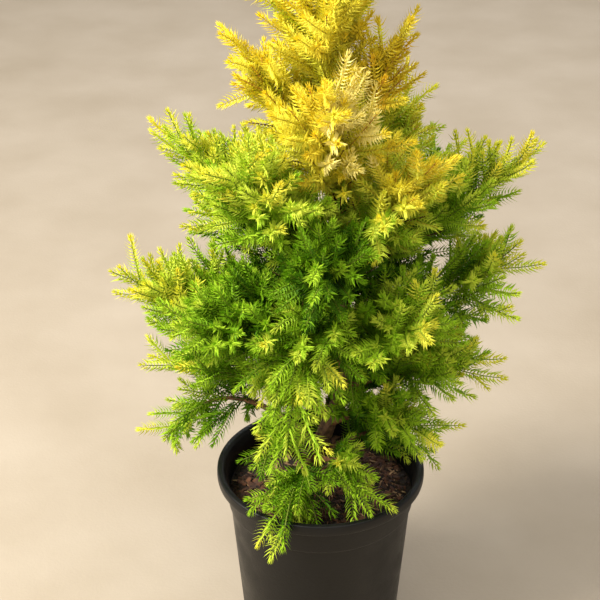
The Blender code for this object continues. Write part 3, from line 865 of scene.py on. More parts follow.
# %% Which places a twig may fill
SPACE_SLACK = 0.010
TRUNK_CLEAR = 0.0022
POT_CLEAR = 0.0036
RIM_CLEAR = POT_CLEAR * 0.6
INSIDE_LIP = LIP_WIDTH + WALL
REACH_SLACK = 0.001
TRUNK_SAMPLES = 80
CROWN_LOW, CROWN_HIGH = (np.array([float(x) for x in corner]) for corner in cad_box)
LIMB_POINTS = np.array([[tuple(p) for p in LINES[name]] for name in LINES])
LIMB_INDEX = {name: i for i, name in enumerate(LINES)}
TRUNK_HEIGHTS = np.linspace(SOIL_TOP, TRUNK_TOP, TRUNK_SAMPLES)
TRUNK_POINTS = np.array([tuple(trunk_axis(float(z))) for z in TRUNK_HEIGHTS])
TRUNK_RADII = np.array([trunk_radius(float(z)) for z in TRUNK_HEIGHTS])


def free_places(name, places):
    """For each place, whether the mass may grow there."""
    places = np.array([tuple(p) for p in places])
    gaps = np.linalg.norm(places[:, None, None] - LIMB_POINTS[None], axis=3).min(axis=2)
    own = gaps[:, LIMB_INDEX[name]].copy()
    gaps[:, LIMB_INDEX[name]] = np.inf
    free = gaps.min(axis=1) > own - SPACE_SLACK
    free &= ((places > CROWN_LOW - REACH_SLACK) & (places < CROWN_HIGH + REACH_SLACK)).all(axis=1)
    away = np.linalg.norm(places[:, None] - TRUNK_POINTS[None], axis=2)
    free &= (away > TRUNK_RADII + TRUNK_CLEAR).all(axis=1)
    out, height = np.hypot(places[:, 0], places[:, 1]), places[:, 2]
    within = (out < rim_radius - INSIDE_LIP - POT_CLEAR) & (height > SOIL_TOP + POT_CLEAR)
    above = height > rim_height + RIM_CLEAR
    wall = np.where(height > rim_height - LIP_HEIGHT - POT_CLEAR, rim_radius, COLLAR_TOP_RADIUS)
    return free & (within | above | (out > wall + POT_CLEAR))


def free_part(name, points, least):
    """The twig up to where it would leave its space, or nothing if that is too little of it."""
    free = free_places(name, points[1:])
    count = len(free) if free.all() else int(np.argmin(free))
    return points[: count + 1] if count >= max(1, least * len(free)) else None


print("limb points", LIMB_POINTS.shape)

# %% [markdown]
# One function makes the run of a twig. It sets out in a direction, turns a little towards the
# light on the way, or droops where the mass weeps, and wanders slightly. Each side shoot is a small
# plume, which calls it for its axis, for the branchlets left and right, and for the twiglets on the
# longest of them. A mass can lift its plumes more or less than the others and make them shorter or
# longer, which gives the crown its outline, and three plumes arch over the rim of the pot in front.

# %% How a plume grows
POINT_STEP = 0.0058
WANDER = 0.018
AXIS_LIFT = 0.22
# mass: how far its plumes turn up over their length, where that isn't the usual lift
LIFTS = {
    "weeping_front": -0.7,
    "skirt_front": -0.9,
    "skirt_left": -0.3,
    "skirt_right": -0.3,
    "skirt_side": -0.1,
    "low_left": -0.15,
    "middle_left": 0.65,
    "middle_side": 0.42,
    "upper_left": 0.35,
    "top_left": -0.3,
    "upper_right": 0.5,
    "middle_right": 0.4,
}
END_PLUMES = {"skirt_front": 0.060, "weeping_front": 0.052}
# The needles reach on beyond a plume's tip, so the plume itself is shorter by this
TIP_NEEDLES = 0.004
# mass: share of the usual length that its plumes have, where the crown is tighter or wider
COMPACT = {
    "leader": 1.15,
    "top_front": 1.08,
    "top_left": 0.80,
    "top_right": 0.86,
    "upper_rear": 0.84,
    "upper_right": 0.86,
    "upper_front_left": 1.12,
    "middle_right": 0.92,
    "low_right": 0.94,
    "low_side": 0.86,
}
# mass: (bearing in degrees, length) of the plumes that arch over the rim of the pot and hang
OVER_RIM = {"skirt_front": ((-122, 0.044), (-107, 0.056), (-94, 0.048))}
OVER_RIM_FROM = 0.5
OVER_RIM_RISE = 0.35
OVER_RIM_DROOP = -1.6
BRANCHLET_FOOT = 0.005
BRANCHLET_STEP = 0.0084
BRANCHLET_ANGLES = (math.radians(42), math.radians(30))
BRANCHLET_LONGEST = 0.042
BRANCHLET_SIZES = (0.8, 1.0, 0.92, 0.72, 0.5, 0.3)
BRANCHLET_SHORTEST = 0.007
BRANCHLET_LIFT = 0.8
# Branchlets keep their full size on plumes of this length, and shrink by this power on shorter ones
FULL_PLUME = 0.050
SHRINK = 0.7
OUT_OF_PLANE = 0.3
STEP_JITTER = 0.2
LAST_SHARE = 0.97
SIDE_SIZE_JITTER = (0.8, 1.15)
TWIGLET_FROM = 0.034
TWIGLET_FOOT = 0.007
TWIGLET_STEP = 0.0095
TWIGLET_LENGTH = 0.012
TWIGLET_SIZES = (1.0, 1.0, 0.7)
TWIGLET_LIFT = 0.1
# A twig that has less of its run free than this isn't grown
LEAST_OF_AXIS = 0.5
LEAST_OF_TWIG = 0.6
MIDDLE = 0.5
END_OVERLAP = 0.003
# order: radius in metres at a twig's foot and at its tip
TWIG_RADII = {1: (0.00066, 0.00042), 2: (0.00048, 0.00035), 3: (0.00040, 0.00030)}


class Twig:
    """One run of twig: its points, its order, and where in the mass it grew."""

    def __init__(self, mass, order, points, share, outer):
        self.mass, self.order, self.points = mass, order, points
        self.share, self.outer = share, outer
        self.length = length_of(points)


def sweep(root, way, length, lift, chance):
    """The points of a twig that sets out along way and turns up by lift over its length."""
    count = max(2, round(length / POINT_STEP))
    points, heading = [root], way
    for _ in range(count):
        stray = Vector([chance.gauss(0, WANDER) for _ in range(3)])
        heading = (heading + UP * (lift / count) + stray).normalized()
        points.append(points[-1] + heading * (length / count))
    return points


def side_twigs(parent, foot, step, longest, sizes, angles, chance):
    """(root, way, length, outer) of twigs set left and right along a parent run."""
    line, length = parent.points, parent.length
    plane = chance.uniform(0, math.pi)
    count = int((length - foot) / step)
    for i in range(count):
        outer = (foot + step * (i + chance.uniform(-STEP_JITTER, STEP_JITTER))) / length
        root, way = along(line, min(max(outer, 0.0), LAST_SHARE))
        turn = plane + math.pi * (i % 2) + chance.gauss(0, OUT_OF_PLANE)
        lean = angles[0] + (angles[1] - angles[0]) * outer
        out = way * math.cos(lean) + side_of(way, turn) * math.sin(lean)
        size = float(np.interp(outer, np.linspace(0, 1, len(sizes)), sizes)) * longest
        yield root, out, size * chance.uniform(*SIDE_SIZE_JITTER), outer


def plume(name, root, way, length, share, chance, lift):
    """A shoot with its branchlets and twiglets, each cut where it would leave the space."""
    length = length * COMPACT.get(name, 1.0) - TIP_NEEDLES
    points = free_part(name, sweep(root, way, length, lift, chance), LEAST_OF_AXIS)
    if not points:
        return []
    axis = Twig(name, 1, points, share, MIDDLE)
    found = [axis]
    longest = BRANCHLET_LONGEST * min(1.0, axis.length / FULL_PLUME) ** SHRINK
    rule = (BRANCHLET_FOOT, BRANCHLET_STEP, longest, BRANCHLET_SIZES, BRANCHLET_ANGLES)
    for spot, out, size, outer in side_twigs(axis, *rule, chance):
        run = sweep(spot, out, max(size, BRANCHLET_SHORTEST), BRANCHLET_LIFT * lift, chance)
        run = free_part(name, run, LEAST_OF_TWIG)
        if not run:
            continue
        branchlet = Twig(name, 2, run, share, outer)
        found.append(branchlet)
        if branchlet.length < TWIGLET_FROM:
            continue
        finer = (TWIGLET_FOOT, TWIGLET_STEP, TWIGLET_LENGTH, TWIGLET_SIZES, BRANCHLET_ANGLES)
        for place, aside, little, further in side_twigs(branchlet, *finer, chance):
            run = free_part(name, sweep(place, aside, little, TWIGLET_LIFT, chance), LEAST_OF_TWIG)
            if run:
                found.append(Twig(name, 3, run, share, max(outer, further)))
    return found


def grow(name):
    """All twigs of one mass: its plumes, and the plume that ends the stem."""
    chance = random.Random(name + " twigs")
    line, lift = LINES[name], LIFTS.get(name, AXIS_LIFT)
    tip, way = along(line, 1.0)
    end = (tip - way * END_OVERLAP, way, END_PLUMES.get(name, LONGEST_SPRAY), 1.0)
    found = [twig for shoot in [*SHOOTS[name], end] for twig in plume(name, *shoot, chance, lift)]
    for bearing, length in OVER_RIM.get(name, ()):
        root, turn = along(line, OVER_RIM_FROM)[0], math.radians(bearing)
        way = Vector((math.cos(turn), math.sin(turn), OVER_RIM_RISE)).normalized()
        found += plume(name, root, way, length, 1.0, chance, OVER_RIM_DROOP)
    return found


TWIGS = [twig for name in LINES for twig in grow(name)]
for order, label in ((1, "plumes"), (2, "branchlets"), (3, "twiglets")):
    chosen = [twig.length for twig in TWIGS if twig.order == order]
    print(label, len(chosen), "of", round(sum(chosen), 1), "m")

# %% [markdown]
# The colours have a place on this plant. New growth is lemon yellow, and most of it stands at the
# top and at the tips; older and shaded needles are green, and the inside is nearly bottle green,
# which is partly the needles' own colour and partly painted shade for the deep inside of the crown.
# So each short run of twig gets a yellowness from its mass, and from how far along the limb and how
# far out on its plume it grows, with a little chance, and the yellowness picks one of the plain
# colours below. For a few masses the yellowness is also painted light: the middle in front is made
# darker as painted shade, and masses on the shaded right side are made lighter as painted light. A
# few named places have colours of their own: one pale bleached spray in front, and warmer shoots at
# the upper right. Each colour then becomes its own material and its own mesh.

# %% Tints of the needles
# name: (highest yellowness that still takes it, colour)
RAMP = {
    "bottle_green": (0.06, colour_of(46, 86, 11)),
    "forest_green": (0.18, colour_of(78, 124, 15)),
    "leaf_green": (0.31, colour_of(122, 168, 26)),
    "bright_green": (0.45, colour_of(174, 212, 50)),
    "lime": (0.58, colour_of(212, 230, 76)),
    "lemon_lime": (0.72, colour_of(236, 236, 80)),
    "lemon": (0.90, colour_of(249, 239, 80)),
    "gold": (9.0, colour_of(252, 233, 72)),
}
OTHERS = {
    "olive_gold": colour_of(234, 214, 56),
    "orange_gold": colour_of(242, 208, 56),
    "cream": colour_of(255, 242, 146),
}
# mass: (yellowness where the shoots of its foot stand, and at its end). Mostly the needles' own
# colour, with painted light in a few: middle_front is set low, as painted shade on the middle in
# front, and middle_side, middle_front_right, middle_right and upper_right are set high, as painted
# light on the shaded right side
YELLOWNESS_AND_PAINTED_LIGHT = {
    "skirt_front": (0.18, 0.38),
    "skirt_left": (0.18, 0.36),
    "skirt_right": (0.20, 0.42),
    "skirt_side": (0.15, 0.35),
    "skirt_rear": (0.15, 0.35),
    "low_left": (0.15, 0.40),
    "low_side": (0.18, 0.50),
    "low_right": (0.18, 0.44),
    "low_rear_right": (0.10, 0.34),
    "low_rear_left": (0.10, 0.36),
    "weeping_front": (0.25, 0.43),
    "middle_side": (0.20, 0.54),
    "middle_left": (0.18, 0.58),
    "middle_front_left": (0.08, 0.32),
    "middle_front_right": (0.16, 0.46),
    "middle_front": (0.02, 0.22),
    "middle_right": (0.22, 0.52),
    "middle_rear_right": (0.10, 0.36),
    "middle_rear_left": (0.12, 0.40),
    "upper_left": (0.38, 0.56),
    "upper_front_left": (0.33, 0.52),
    "upper_front_right": (0.42, 0.72),
    "upper_right": (0.30, 0.56),
    "upper_rear": (0.46, 0.60),
    "top_left": (0.76, 0.86),
    "top_right": (0.70, 0.82),
    "top_front": (0.76, 0.88),
    "top_rear": (0.68, 0.78),
    "leader": (0.80, 0.90),
}
# Where along a limb the yellowness begins to rise, and over how much of the limb it does; the
# greener, darker needles near the trunk are partly their own colour and partly painted shade
YELLOWING = (0.2, 0.7)
# How much yellower a run is further out on its plume: partly new growth, and partly painted shade that
# darkens the plume's foot
OUTER_GAIN = 0.14
CHANCE_SPREAD = 0.075
# (middle of the place, its radius in metres, how much of it takes the tint, tint)
PATCHES = (
    ((0.026, -0.038, 0.402), 0.017, 0.8, "cream"),
    ((0.022, -0.050, 0.374), 0.021, 0.9, "cream"),
    ((0.020, -0.058, 0.346), 0.017, 0.7, "cream"),
    ((0.046, -0.018, 0.400), 0.034, 0.75, "olive_gold"),
    ((0.052, -0.020, 0.385), 0.030, 0.5, "orange_gold"),
    ((0.050, -0.040, 0.350), 0.018, 0.5, "olive_gold"),
)


def tint_of(twig, place, gain, chance):
    """The tint of a run of twig whose middle is place."""
    for middle, radius, part, tint in PATCHES:
        if (place - Vector(middle)).length < radius and chance.random() < part:
            return tint
    foot, tip = YELLOWNESS_AND_PAINTED_LIGHT[twig.mass]
    value = foot + (tip - foot) * min(1.0, max(0.0, (twig.share - YELLOWING[0]) / YELLOWING[1]))
    value += OUTER_GAIN * (twig.outer - MIDDLE) + gain
    return next(name for name, (highest, _) in RAMP.items() if value <= highest)


# %% [markdown]
# A twig is cut into runs, because its tip is yellower than its foot; this is partly new growth and
# partly painted shade, which darkens the foot of each spray where it lies deeper in the crown. Each
# run of needles is a polyline with two numbers at each point: how closed the whorls are, which goes
# from open at the foot of a twig to tight at its tip, and how large the needles are.

# %% Deal out the runs
PITCH = 0.0019
# Where a twig's young needles begin, as lengths back from its tip, and what each run gains in
# yellowness; the loss at the foot is partly painted shade
RUNS = ((0.016, -0.07), (0.006, 0.03), (0.0, 0.10))
# A run shorter than this many whorls is left to the next one
FEWEST_WHORLS = 1.5
CLOSING = 0.007
OPEN_NEEDLES = 1.0
SMALL_NEEDLES = 0.72


def split_run(twig):
    """The twig as runs of (points, how closed its whorls are at each, gain in yellowness)."""
    start = 0.0
    for back, gain in RUNS:
        end = (twig.length - back) / twig.length
        if end - start < FEWEST_WHORLS * PITCH / twig.length:
            continue
        count = max(2, round((end - start) * twig.length / POINT_STEP) + 1)
        shares = np.linspace(start, end, count)
        points = [along(twig.points, float(share))[0] for share in shares]
        closed = np.clip(1 - (1 - shares) * twig.length / CLOSING, 0, 1)
        yield points, closed, gain
        start = end + PITCH / twig.length


def deal(twigs):
    """{tint: runs}, where a run is (mass, points, how closed the whorls are)."""
    chance = random.Random("tints")
    dealt = {}
    for twig in twigs:
        luck = chance.gauss(0, CHANCE_SPREAD)
        for points, closed, gain in split_run(twig):
            tint = tint_of(twig, points[len(points) // 2], luck + gain, chance)
            dealt.setdefault(tint, []).append((twig.mass, points, closed))
    return dealt


DEALT = deal(TWIGS)
for tint in [*RAMP, *OTHERS]:
    runs = DEALT.get(tint, [])
    print(tint, len(runs), "runs,", round(sum(length_of(points) for _, points, _ in runs), 1), "m")

# %% [markdown]
# A needle of young cypress foliage is a flat awl, slightly keeled, drawn to a point and bent a little
# towards the twig's tip. Four triangles are enough: two blades on either side of a bent keel. The
# needles sit in fours, in straight ranks along the twig, which gives a shoot its fishbone look. The
# whorls stand open low on the twig, close up towards its tip and end in a tuft, so four of them
# are made here and the node tree picks between them.

# %% The whorls
NEEDLE_LENGTH = 0.0074
NEEDLE_WIDTH = 0.00138
NEEDLE_FOLD = 0.46
WIDEST = 0.30
KEEL_BEND = 0.46
# The needle sets out at more than its angle and ends at less
NEEDLE_CURVE = (1.20, 0.84)
TRIANGLES_IN_NEEDLE = 4
NEEDLES_IN_WHORL = 4
LEAN_JITTER = (0.86, 1.14)
LENGTH_JITTER = (0.92, 1.06)
RANK_JITTER = 0.1
# name: (needles, angle from the twig in degrees, length share)
WHORLS = {
    "whorl_1_open": (NEEDLES_IN_WHORL, 51, 1.0),
    "whorl_2_half": (NEEDLES_IN_WHORL, 46, 0.96),
    "whorl_3_tight": (5, 35, 0.84),
    "whorl_4_tuft": (7, 21, 0.74),
}


def way_out(angle, out):
    """The direction at this angle from the twig, on the side of out."""
    return UP * math.cos(angle) + out * math.sin(angle)


whorls = bpy.data.collections.new("whorls")
chance = random.Random("whorls")
for name, (count, lean, size) in WHORLS.items():
    corners, faces = [], []
    for i in range(count):
        turn = 2 * math.pi * i / count + chance.uniform(-RANK_JITTER, RANK_JITTER)
        angle = math.radians(lean * chance.uniform(*LEAN_JITTER))
        out = Vector((math.cos(turn), math.sin(turn), 0))
        first, last = (way_out(angle * share, out) for share in NEEDLE_CURVE)
        side = UP.cross(out)
        length = NEEDLE_LENGTH * size * chance.uniform(*LENGTH_JITTER)
        middle = first * length * WIDEST - first.cross(side) * NEEDLE_WIDTH * NEEDLE_FOLD
        across = side * NEEDLE_WIDTH / 2
        keel = first * length * KEEL_BEND
        tip = keel + last * length * (1 - KEEL_BEND)
        k = len(corners)
        corners += [Vector((0, 0, 0)), middle + across, keel, middle - across, tip]
        faces += [(k, k + 1, k + 2), (k, k + 2, k + 3), (k + 1, k + 4, k + 2), (k + 2, k + 4, k + 3)]
    mesh = bpy.data.meshes.new(name)
    mesh.from_pydata([tuple(c) for c in corners], [], faces)
    whorls.objects.link(bpy.data.objects.new(name, mesh))


# %% [markdown]
# Three Geometry Nodes trees do what repeats here: one sets the needles, one makes the twigs and one
# scatters litter. They are built in the script from the same few helpers. Each tree ends in Realize
# Instances, because an instance wouldn't leave Blender as a mesh, and its result is then made a
# plain mesh object.


# %% Helpers for node trees
def node_tree(name, inputs):
    """A Geometry Nodes tree with a mesh in, a mesh out and the (name, type, default) inputs."""
    tree = bpy.data.node_groups.new(name, "GeometryNodeTree")
    tree.interface.new_socket("Geometry", in_out="INPUT", socket_type="NodeSocketGeometry")
    tree.interface.new_socket("Geometry", in_out="OUTPUT", socket_type="NodeSocketGeometry")
    for label, kind, value in inputs:
        made = tree.interface.new_socket(label, in_out="INPUT", socket_type=kind)
        if value is not None:
            made.default_value = value
    return tree, tree.nodes.new("NodeGroupInput"), tree.nodes.new("NodeGroupOutput")


def named(tree, attribute):
    """The output of a Named Attribute node for a float."""
    node = tree.nodes.new("GeometryNodeInputNamedAttribute")
    node.data_type = "FLOAT"
    node.inputs["Name"].default_value = attribute
    return node.outputs["Attribute"]


def feed(tree, socket, value):
    """Gives an input socket a number, or links another node's socket to it."""
    if isinstance(value, (int, float)):
        socket.default_value = value
    else:
        tree.links.new(value, socket)


def maths(tree, operation, *values):
    """A Math node; each value is a number or a socket."""
    node = tree.nodes.new("ShaderNodeMath")
    node.operation = operation
    for socket, value in zip(node.inputs, values):
        feed(tree, socket, value)
    return node.outputs["Value"]


def random_between(tree, low, high, seed, offset):
    """A random float for each point; low, high and seed are sockets or numbers."""
    node = tree.nodes.new("FunctionNodeRandomValue")
    node.data_type = "FLOAT"
    for identifier, value in (("Min_001", low), ("Max_001", high)):
        feed(tree, socket_of(node.inputs, identifier), value)
    tree.links.new(maths(tree, "ADD", seed, offset), socket_of(node.inputs, "Seed"))
    return next(s for s in node.outputs if s.enabled)


def either_way(tree, reach, seed, offset):
    """A random float for each point, from minus reach to reach."""
    return random_between(tree, maths(tree, "MULTIPLY", reach, -1.0), reach, seed, offset)


def picked_forms(tree, points, collection):
    """An Instance on Points node that sets the forms of a collection on points."""
    forms = tree.nodes.new("GeometryNodeCollectionInfo")
    forms.inputs["Separate Children"].default_value = True
    forms.inputs["Reset Children"].default_value = True
    place = tree.nodes.new("GeometryNodeInstanceOnPoints")
    place.inputs["Pick Instance"].default_value = True
    tree.links.new(points, place.inputs["Points"])
    tree.links.new(collection, forms.inputs["Collection"])
    tree.links.new(forms.outputs["Instances"], place.inputs["Instance"])
    return place


def ended(tree, taken, given, geometry):
    """The tree with its end: instances are made real and get the material."""
    real = tree.nodes.new("GeometryNodeRealizeInstances")
    paint = tree.nodes.new("GeometryNodeSetMaterial")
    tree.links.new(geometry, real.inputs["Geometry"])
    tree.links.new(real.outputs["Geometry"], paint.inputs["Geometry"])
    tree.links.new(taken.outputs["Material"], paint.inputs["Material"])
    tree.links.new(paint.outputs["Geometry"], given.inputs["Geometry"])
    return tree


def made_by(name, mesh, tree, values):
    """A plain mesh object from a mesh and a node tree, its inputs set by socket identifier."""
    obj = placed(name, mesh)
    modifier = obj.modifiers.new("Nodes", "NODES")
    modifier.node_group = tree
    sockets = {s.name: s.identifier for s in tree.interface.items_tree if s.in_out == "INPUT"}
    for label, value in values.items():
        modifier[sockets[label]] = value
    finished(obj)
    return obj


print("helpers for node trees are ready")

# %% [markdown]
# The first tree turns the polylines into curves, cuts them at an even pitch, and puts a whorl on
# each point with its axis along the twig. A whorl is turned from the last only by some scatter, so
# that the ranks stay straight, and the tufts at the tips scatter more.


# %% A node tree that sets needles on twigs
def turned_about(tree, rotation, axis, angle):
    """A rotation turned on about one of its own axes."""
    about = tree.nodes.new("FunctionNodeAxisAngleToRotation")
    about.inputs["Axis"].default_value = axis
    spin = tree.nodes.new("FunctionNodeRotateRotation")
    spin.rotation_space = "LOCAL"
    tree.links.new(angle, about.inputs["Angle"])
    tree.links.new(rotation, spin.inputs["Rotation"])
    tree.links.new(about.outputs["Rotation"], spin.inputs["Rotate By"])
    return spin.outputs["Rotation"]


def needle_tree():
    """Whorls along polylines, by the attributes that say how closed and how large they are."""
    tree, taken, given = node_tree(
        "needles_on_twigs",
        [
            ("Whorls", "NodeSocketCollection", None),
            ("Pitch", "NodeSocketFloat", PITCH),
            ("Scatter", "NodeSocketFloat", 0.18),
            ("Scatter of Tips", "NodeSocketFloat", 0.7),
            ("Scatter of Forms", "NodeSocketFloat", 0.3),
            ("Tilt", "NodeSocketFloat", 0.12),
            ("Smallest", "NodeSocketFloat", 0.85),
            ("Largest", "NodeSocketFloat", 1.1),
            ("Seed", "NodeSocketInt", 1),
            ("Material", "NodeSocketMaterial", None),
        ],
    )
    link = tree.links.new
    curve = tree.nodes.new("GeometryNodeMeshToCurve")
    cut = tree.nodes.new("GeometryNodeResampleCurve")
    cut.mode = "LENGTH"
    tangent = tree.nodes.new("GeometryNodeInputTangent")
    aim = tree.nodes.new("FunctionNodeAlignRotationToVector")
    aim.axis = "Z"
    seed = taken.outputs["Seed"]
    link(taken.outputs["Geometry"], curve.inputs["Mesh"])
    link(curve.outputs["Curve"], cut.inputs["Curve"])
    link(taken.outputs["Pitch"], cut.inputs["Length"])
    link(tangent.outputs["Tangent"], aim.inputs["Vector"])
    loose = maths(tree, "MULTIPLY", named(tree, "closed"), taken.outputs["Scatter of Tips"])
    loose = maths(tree, "ADD", loose, taken.outputs["Scatter"])
    turn, tilt = either_way(tree, loose, seed, 1), either_way(tree, taken.outputs["Tilt"], seed, 4)
    way = turned_about(tree, aim.outputs["Rotation"], (0, 0, 1), turn)
    way = turned_about(tree, way, (1, 0, 0), tilt)
    size = random_between(tree, taken.outputs["Smallest"], taken.outputs["Largest"], seed, 2)
    size = maths(tree, "MULTIPLY", size, named(tree, "size"))
    form = maths(tree, "MULTIPLY", named(tree, "closed"), len(WHORLS) - 1.0)
    form = maths(tree, "ADD", form, 0.5)
    strays = either_way(tree, taken.outputs["Scatter of Forms"], seed, 3)
    form = maths(tree, "FLOOR", maths(tree, "ADD", form, strays))
    place = picked_forms(tree, cut.outputs["Curve"], taken.outputs["Whorls"])
    link(form, place.inputs["Instance Index"])
    link(way, place.inputs["Rotation"])
    link(size, place.inputs["Scale"])
    return ended(tree, taken, given, place.outputs["Instances"])


NEEDLE_TREE = needle_tree()
print("node tree:", NEEDLE_TREE.name)

# %% [markdown]
# The needles' finish is waxy, so it has a soft sheen rather than a gloss. Its base colour is the
# plain tint, and a fine noise only changes the roughness, because on such small faces a pattern in
# the colour would be lost.


# %% Needle finishes
WAX_SPECULAR = 0.12
WAX_ROUGHNESS = (0.42, 0.66)
WAX_SCALE = 900.0


def needle_finish(name, colour):
    """A plain waxy tint."""
    material, tree, shader = new_material(name)
    shader.inputs["Base Color"].default_value = colour
    shader.inputs["Specular IOR Level"].default_value = WAX_SPECULAR
    roughen(tree, shader, grouped(material, MOTTLE, {"Scale": WAX_SCALE}), WAX_ROUGHNESS)
    return material


TINTS = {**{name: colour for name, (_, colour) in RAMP.items()}, **OTHERS}
FINISHES = {name: needle_finish("needles_" + name, colour) for name, colour in TINTS.items()}
print(len(FINISHES), "needle finishes")

# %% [markdown]
# A piece stays well under two hundred thousand triangles, so a tint with more needles than that is
# dealt into several pieces, mass by mass. Each piece stands for the masses whose needles it has.

# %% Set the needles
PIECE_TRIANGLES = 150000
TRIANGLES_PER_METRE = NEEDLES_IN_WHORL * TRIANGLES_IN_NEEDLE / PITCH
SEEDS_APART = 10


def polylines(name, lines, attributes):
    """Lines of points as one mesh of edges, with the attributes that a node tree reads."""
    places, edges = [], []
    for points in lines:
        start = len(places)
        places += [tuple(p) for p in points]
        edges += [(start + i, start + i + 1) for i in range(len(points) - 1)]
    mesh = bpy.data.meshes.new(name)
    mesh.from_pydata(places, edges, [])
    for label, values in attributes.items():
        mesh.attributes.new(label, "FLOAT", "POINT").data.foreach_set("value", values)
    return mesh


def needle_lines(name, runs):
    """The runs of one piece as polylines with how closed and how large their whorls are."""
    closed = [float(part) for _, _, closing in runs for part in closing]
    size = [OPEN_NEEDLES + (SMALL_NEEDLES - OPEN_NEEDLES) * part**2 for part in closed]
    return polylines(name, [points for _, points, _ in runs], {"closed": closed, "size": size})


def dealt_in_pieces(runs):
    """The runs in lots that stay under the triangles of a piece."""
    lots, lot, triangles = [], [], 0.0
    total = sum(length_of(points) for _, points, _ in runs) * TRIANGLES_PER_METRE
    limit = total / math.ceil(total / PIECE_TRIANGLES) + 1
    for run in runs:
        need = length_of(run[1]) * TRIANGLES_PER_METRE
        if triangles + need > limit:
            lots.append(lot)
            lot, triangles = [], 0.0
        lot.append(run)
        triangles += need
    return [*lots, lot]


needle_total = 0
for number, (tint, finish) in enumerate(FINISHES.items()):
    lots = dealt_in_pieces(DEALT[tint]) if DEALT.get(tint) else []
    for i, lot in enumerate(lots):
        name = f"needles_{tint}" + (f"_{i + 1}" if len(lots) > 1 else "")
        seed = SEEDS_APART * number + i
        values = {"Whorls": whorls, "Pitch": PITCH, "Seed": seed, "Material": finish}
        piece = made_by(name, needle_lines(name, lot), NEEDLE_TREE, values)
        keep(piece, "needles", *sorted({mass for mass, _, _ in lot}))
        needle_total += len(piece.data.polygons)
        print(name, len(piece.data.polygons), "triangles")
print("needles:", needle_total, "triangles")


# %% [markdown]
# The twigs are tubes of three sides along the same lines, and so thin that no more sides would
# show. A twig's radius is an attribute on its points, and the tree sweeps a small circle along it.
# Old twigs are brown, and those of the yellow masses are orange and yellow, so that no dark core
# shows between pale needles.


# %% Twigs
def twig_tree():
    """Tubes along polylines, as thick as their attribute says."""
    tree, taken, given = node_tree(
        "tubes_on_twigs",
        [("Sides", "NodeSocketInt", 3), ("Material", "NodeSocketMaterial", None)],
    )
    link = tree.links.new
    curve = tree.nodes.new("GeometryNodeMeshToCurve")
    circle = tree.nodes.new("GeometryNodeCurvePrimitiveCircle")
    circle.inputs["Radius"].default_value = 1.0
    tube = tree.nodes.new("GeometryNodeCurveToMesh")
    tube.inputs["Fill Caps"].default_value = True
    link(taken.outputs["Geometry"], curve.inputs["Mesh"])
    link(curve.outputs["Curve"], tube.inputs["Curve"])
    link(taken.outputs["Sides"], circle.inputs["Resolution"])
    link(circle.outputs["Curve"], tube.inputs["Profile Curve"])
    link(named(tree, "girth"), tube.inputs["Scale"])
    return ended(tree, taken, given, tube.outputs["Mesh"])


TWIG_TREE = twig_tree()
TWIG_SIDES = 3
# kind: (dark colour, light colour)
TWIG_KINDS = {
    "yellow_twigs": (colour_of(206, 190, 52), colour_of(230, 216, 78)),
    "green_twigs": (colour_of(118, 140, 36), colour_of(150, 172, 50)),
    "orange_twigs": (colour_of(196, 146, 60), colour_of(226, 184, 84)),
    "brown_twigs": (colour_of(92, 62, 38), colour_of(134, 92, 54)),
}
# The lowest twigs of a limb are old, and a mass whose two yellownesses add up to more is yellow
OLD_SHARE = 0.36
YELLOW_MASS = 1.0


def twig_kind(twig):
    """Old twigs near the trunk are brown; a yellow mass has orange plumes with yellow twigs."""
    if twig.share < OLD_SHARE and twig.order == 1:
        return "brown_twigs"
    if sum(YELLOWNESS_AND_PAINTED_LIGHT[twig.mass]) > YELLOW_MASS:
        return "orange_twigs" if twig.order == 1 else "yellow_twigs"
    return "green_twigs"


for kind, colours in TWIG_KINDS.items():
    chosen = [twig for twig in TWIGS if twig_kind(twig) == kind]
    girth = [r for twig in chosen for r in np.linspace(*TWIG_RADII[twig.order], len(twig.points))]
    lines = polylines(kind, [twig.points for twig in chosen], {"girth": girth})
    finish = material_of(kind, *colours, scale=700.0, roughness=(0.55, 0.75))
    piece = made_by(kind, lines, TWIG_TREE, {"Sides": TWIG_SIDES, "Material": finish})
    piece.data.shade_smooth()
    keep(piece, "bark", *sorted({twig.mass for twig in chosen}))
    piece.data.calc_loop_triangles()
    print(kind, len(piece.data.loop_triangles), "triangles")

# %% [markdown]
# The compost is coarse and dark: a lumpy bed, closed all round like the solid it stands for. Its
# surface is a disc of rings whose points are raised by noise of three sizes, and it lies calm at
# the trunk's foot, so that the bark goes into it cleanly.


# %% The compost's bed
BED_RADIUS = 0.0573
BED_RINGS = 44
BED_SIDES = 120
BED_BUMPS = ((60.0, 0.0018), (190.0, 0.0010), (520.0, 0.0004))
BED_CALM = 0.02
# (radius, height) of the rings below the surface, which follow the pot's wall
BED_LOW = (
    (NECK_RADIUS - WALL - SEAT, rim_height - COLLAR_FOOT - 0.004),
    (BASE_RADIUS - WALL - SEAT, FLOOR_THICKNESS + SEAT),
)


def bed_point(out, turn):
    """A point of the surface: clods of three sizes, which fade out round the trunk's foot."""
    x, y = out * math.cos(turn), out * math.sin(turn)
    rise = sum(depth * noise.noise(Vector((x * wide, y * wide, 2.0))) for wide, depth in BED_BUMPS)
    calm = min(1.0, math.hypot(x - TRUNK_FOOT_X, y) / BED_CALM)
    return x, y, SOIL_TOP + rise * calm


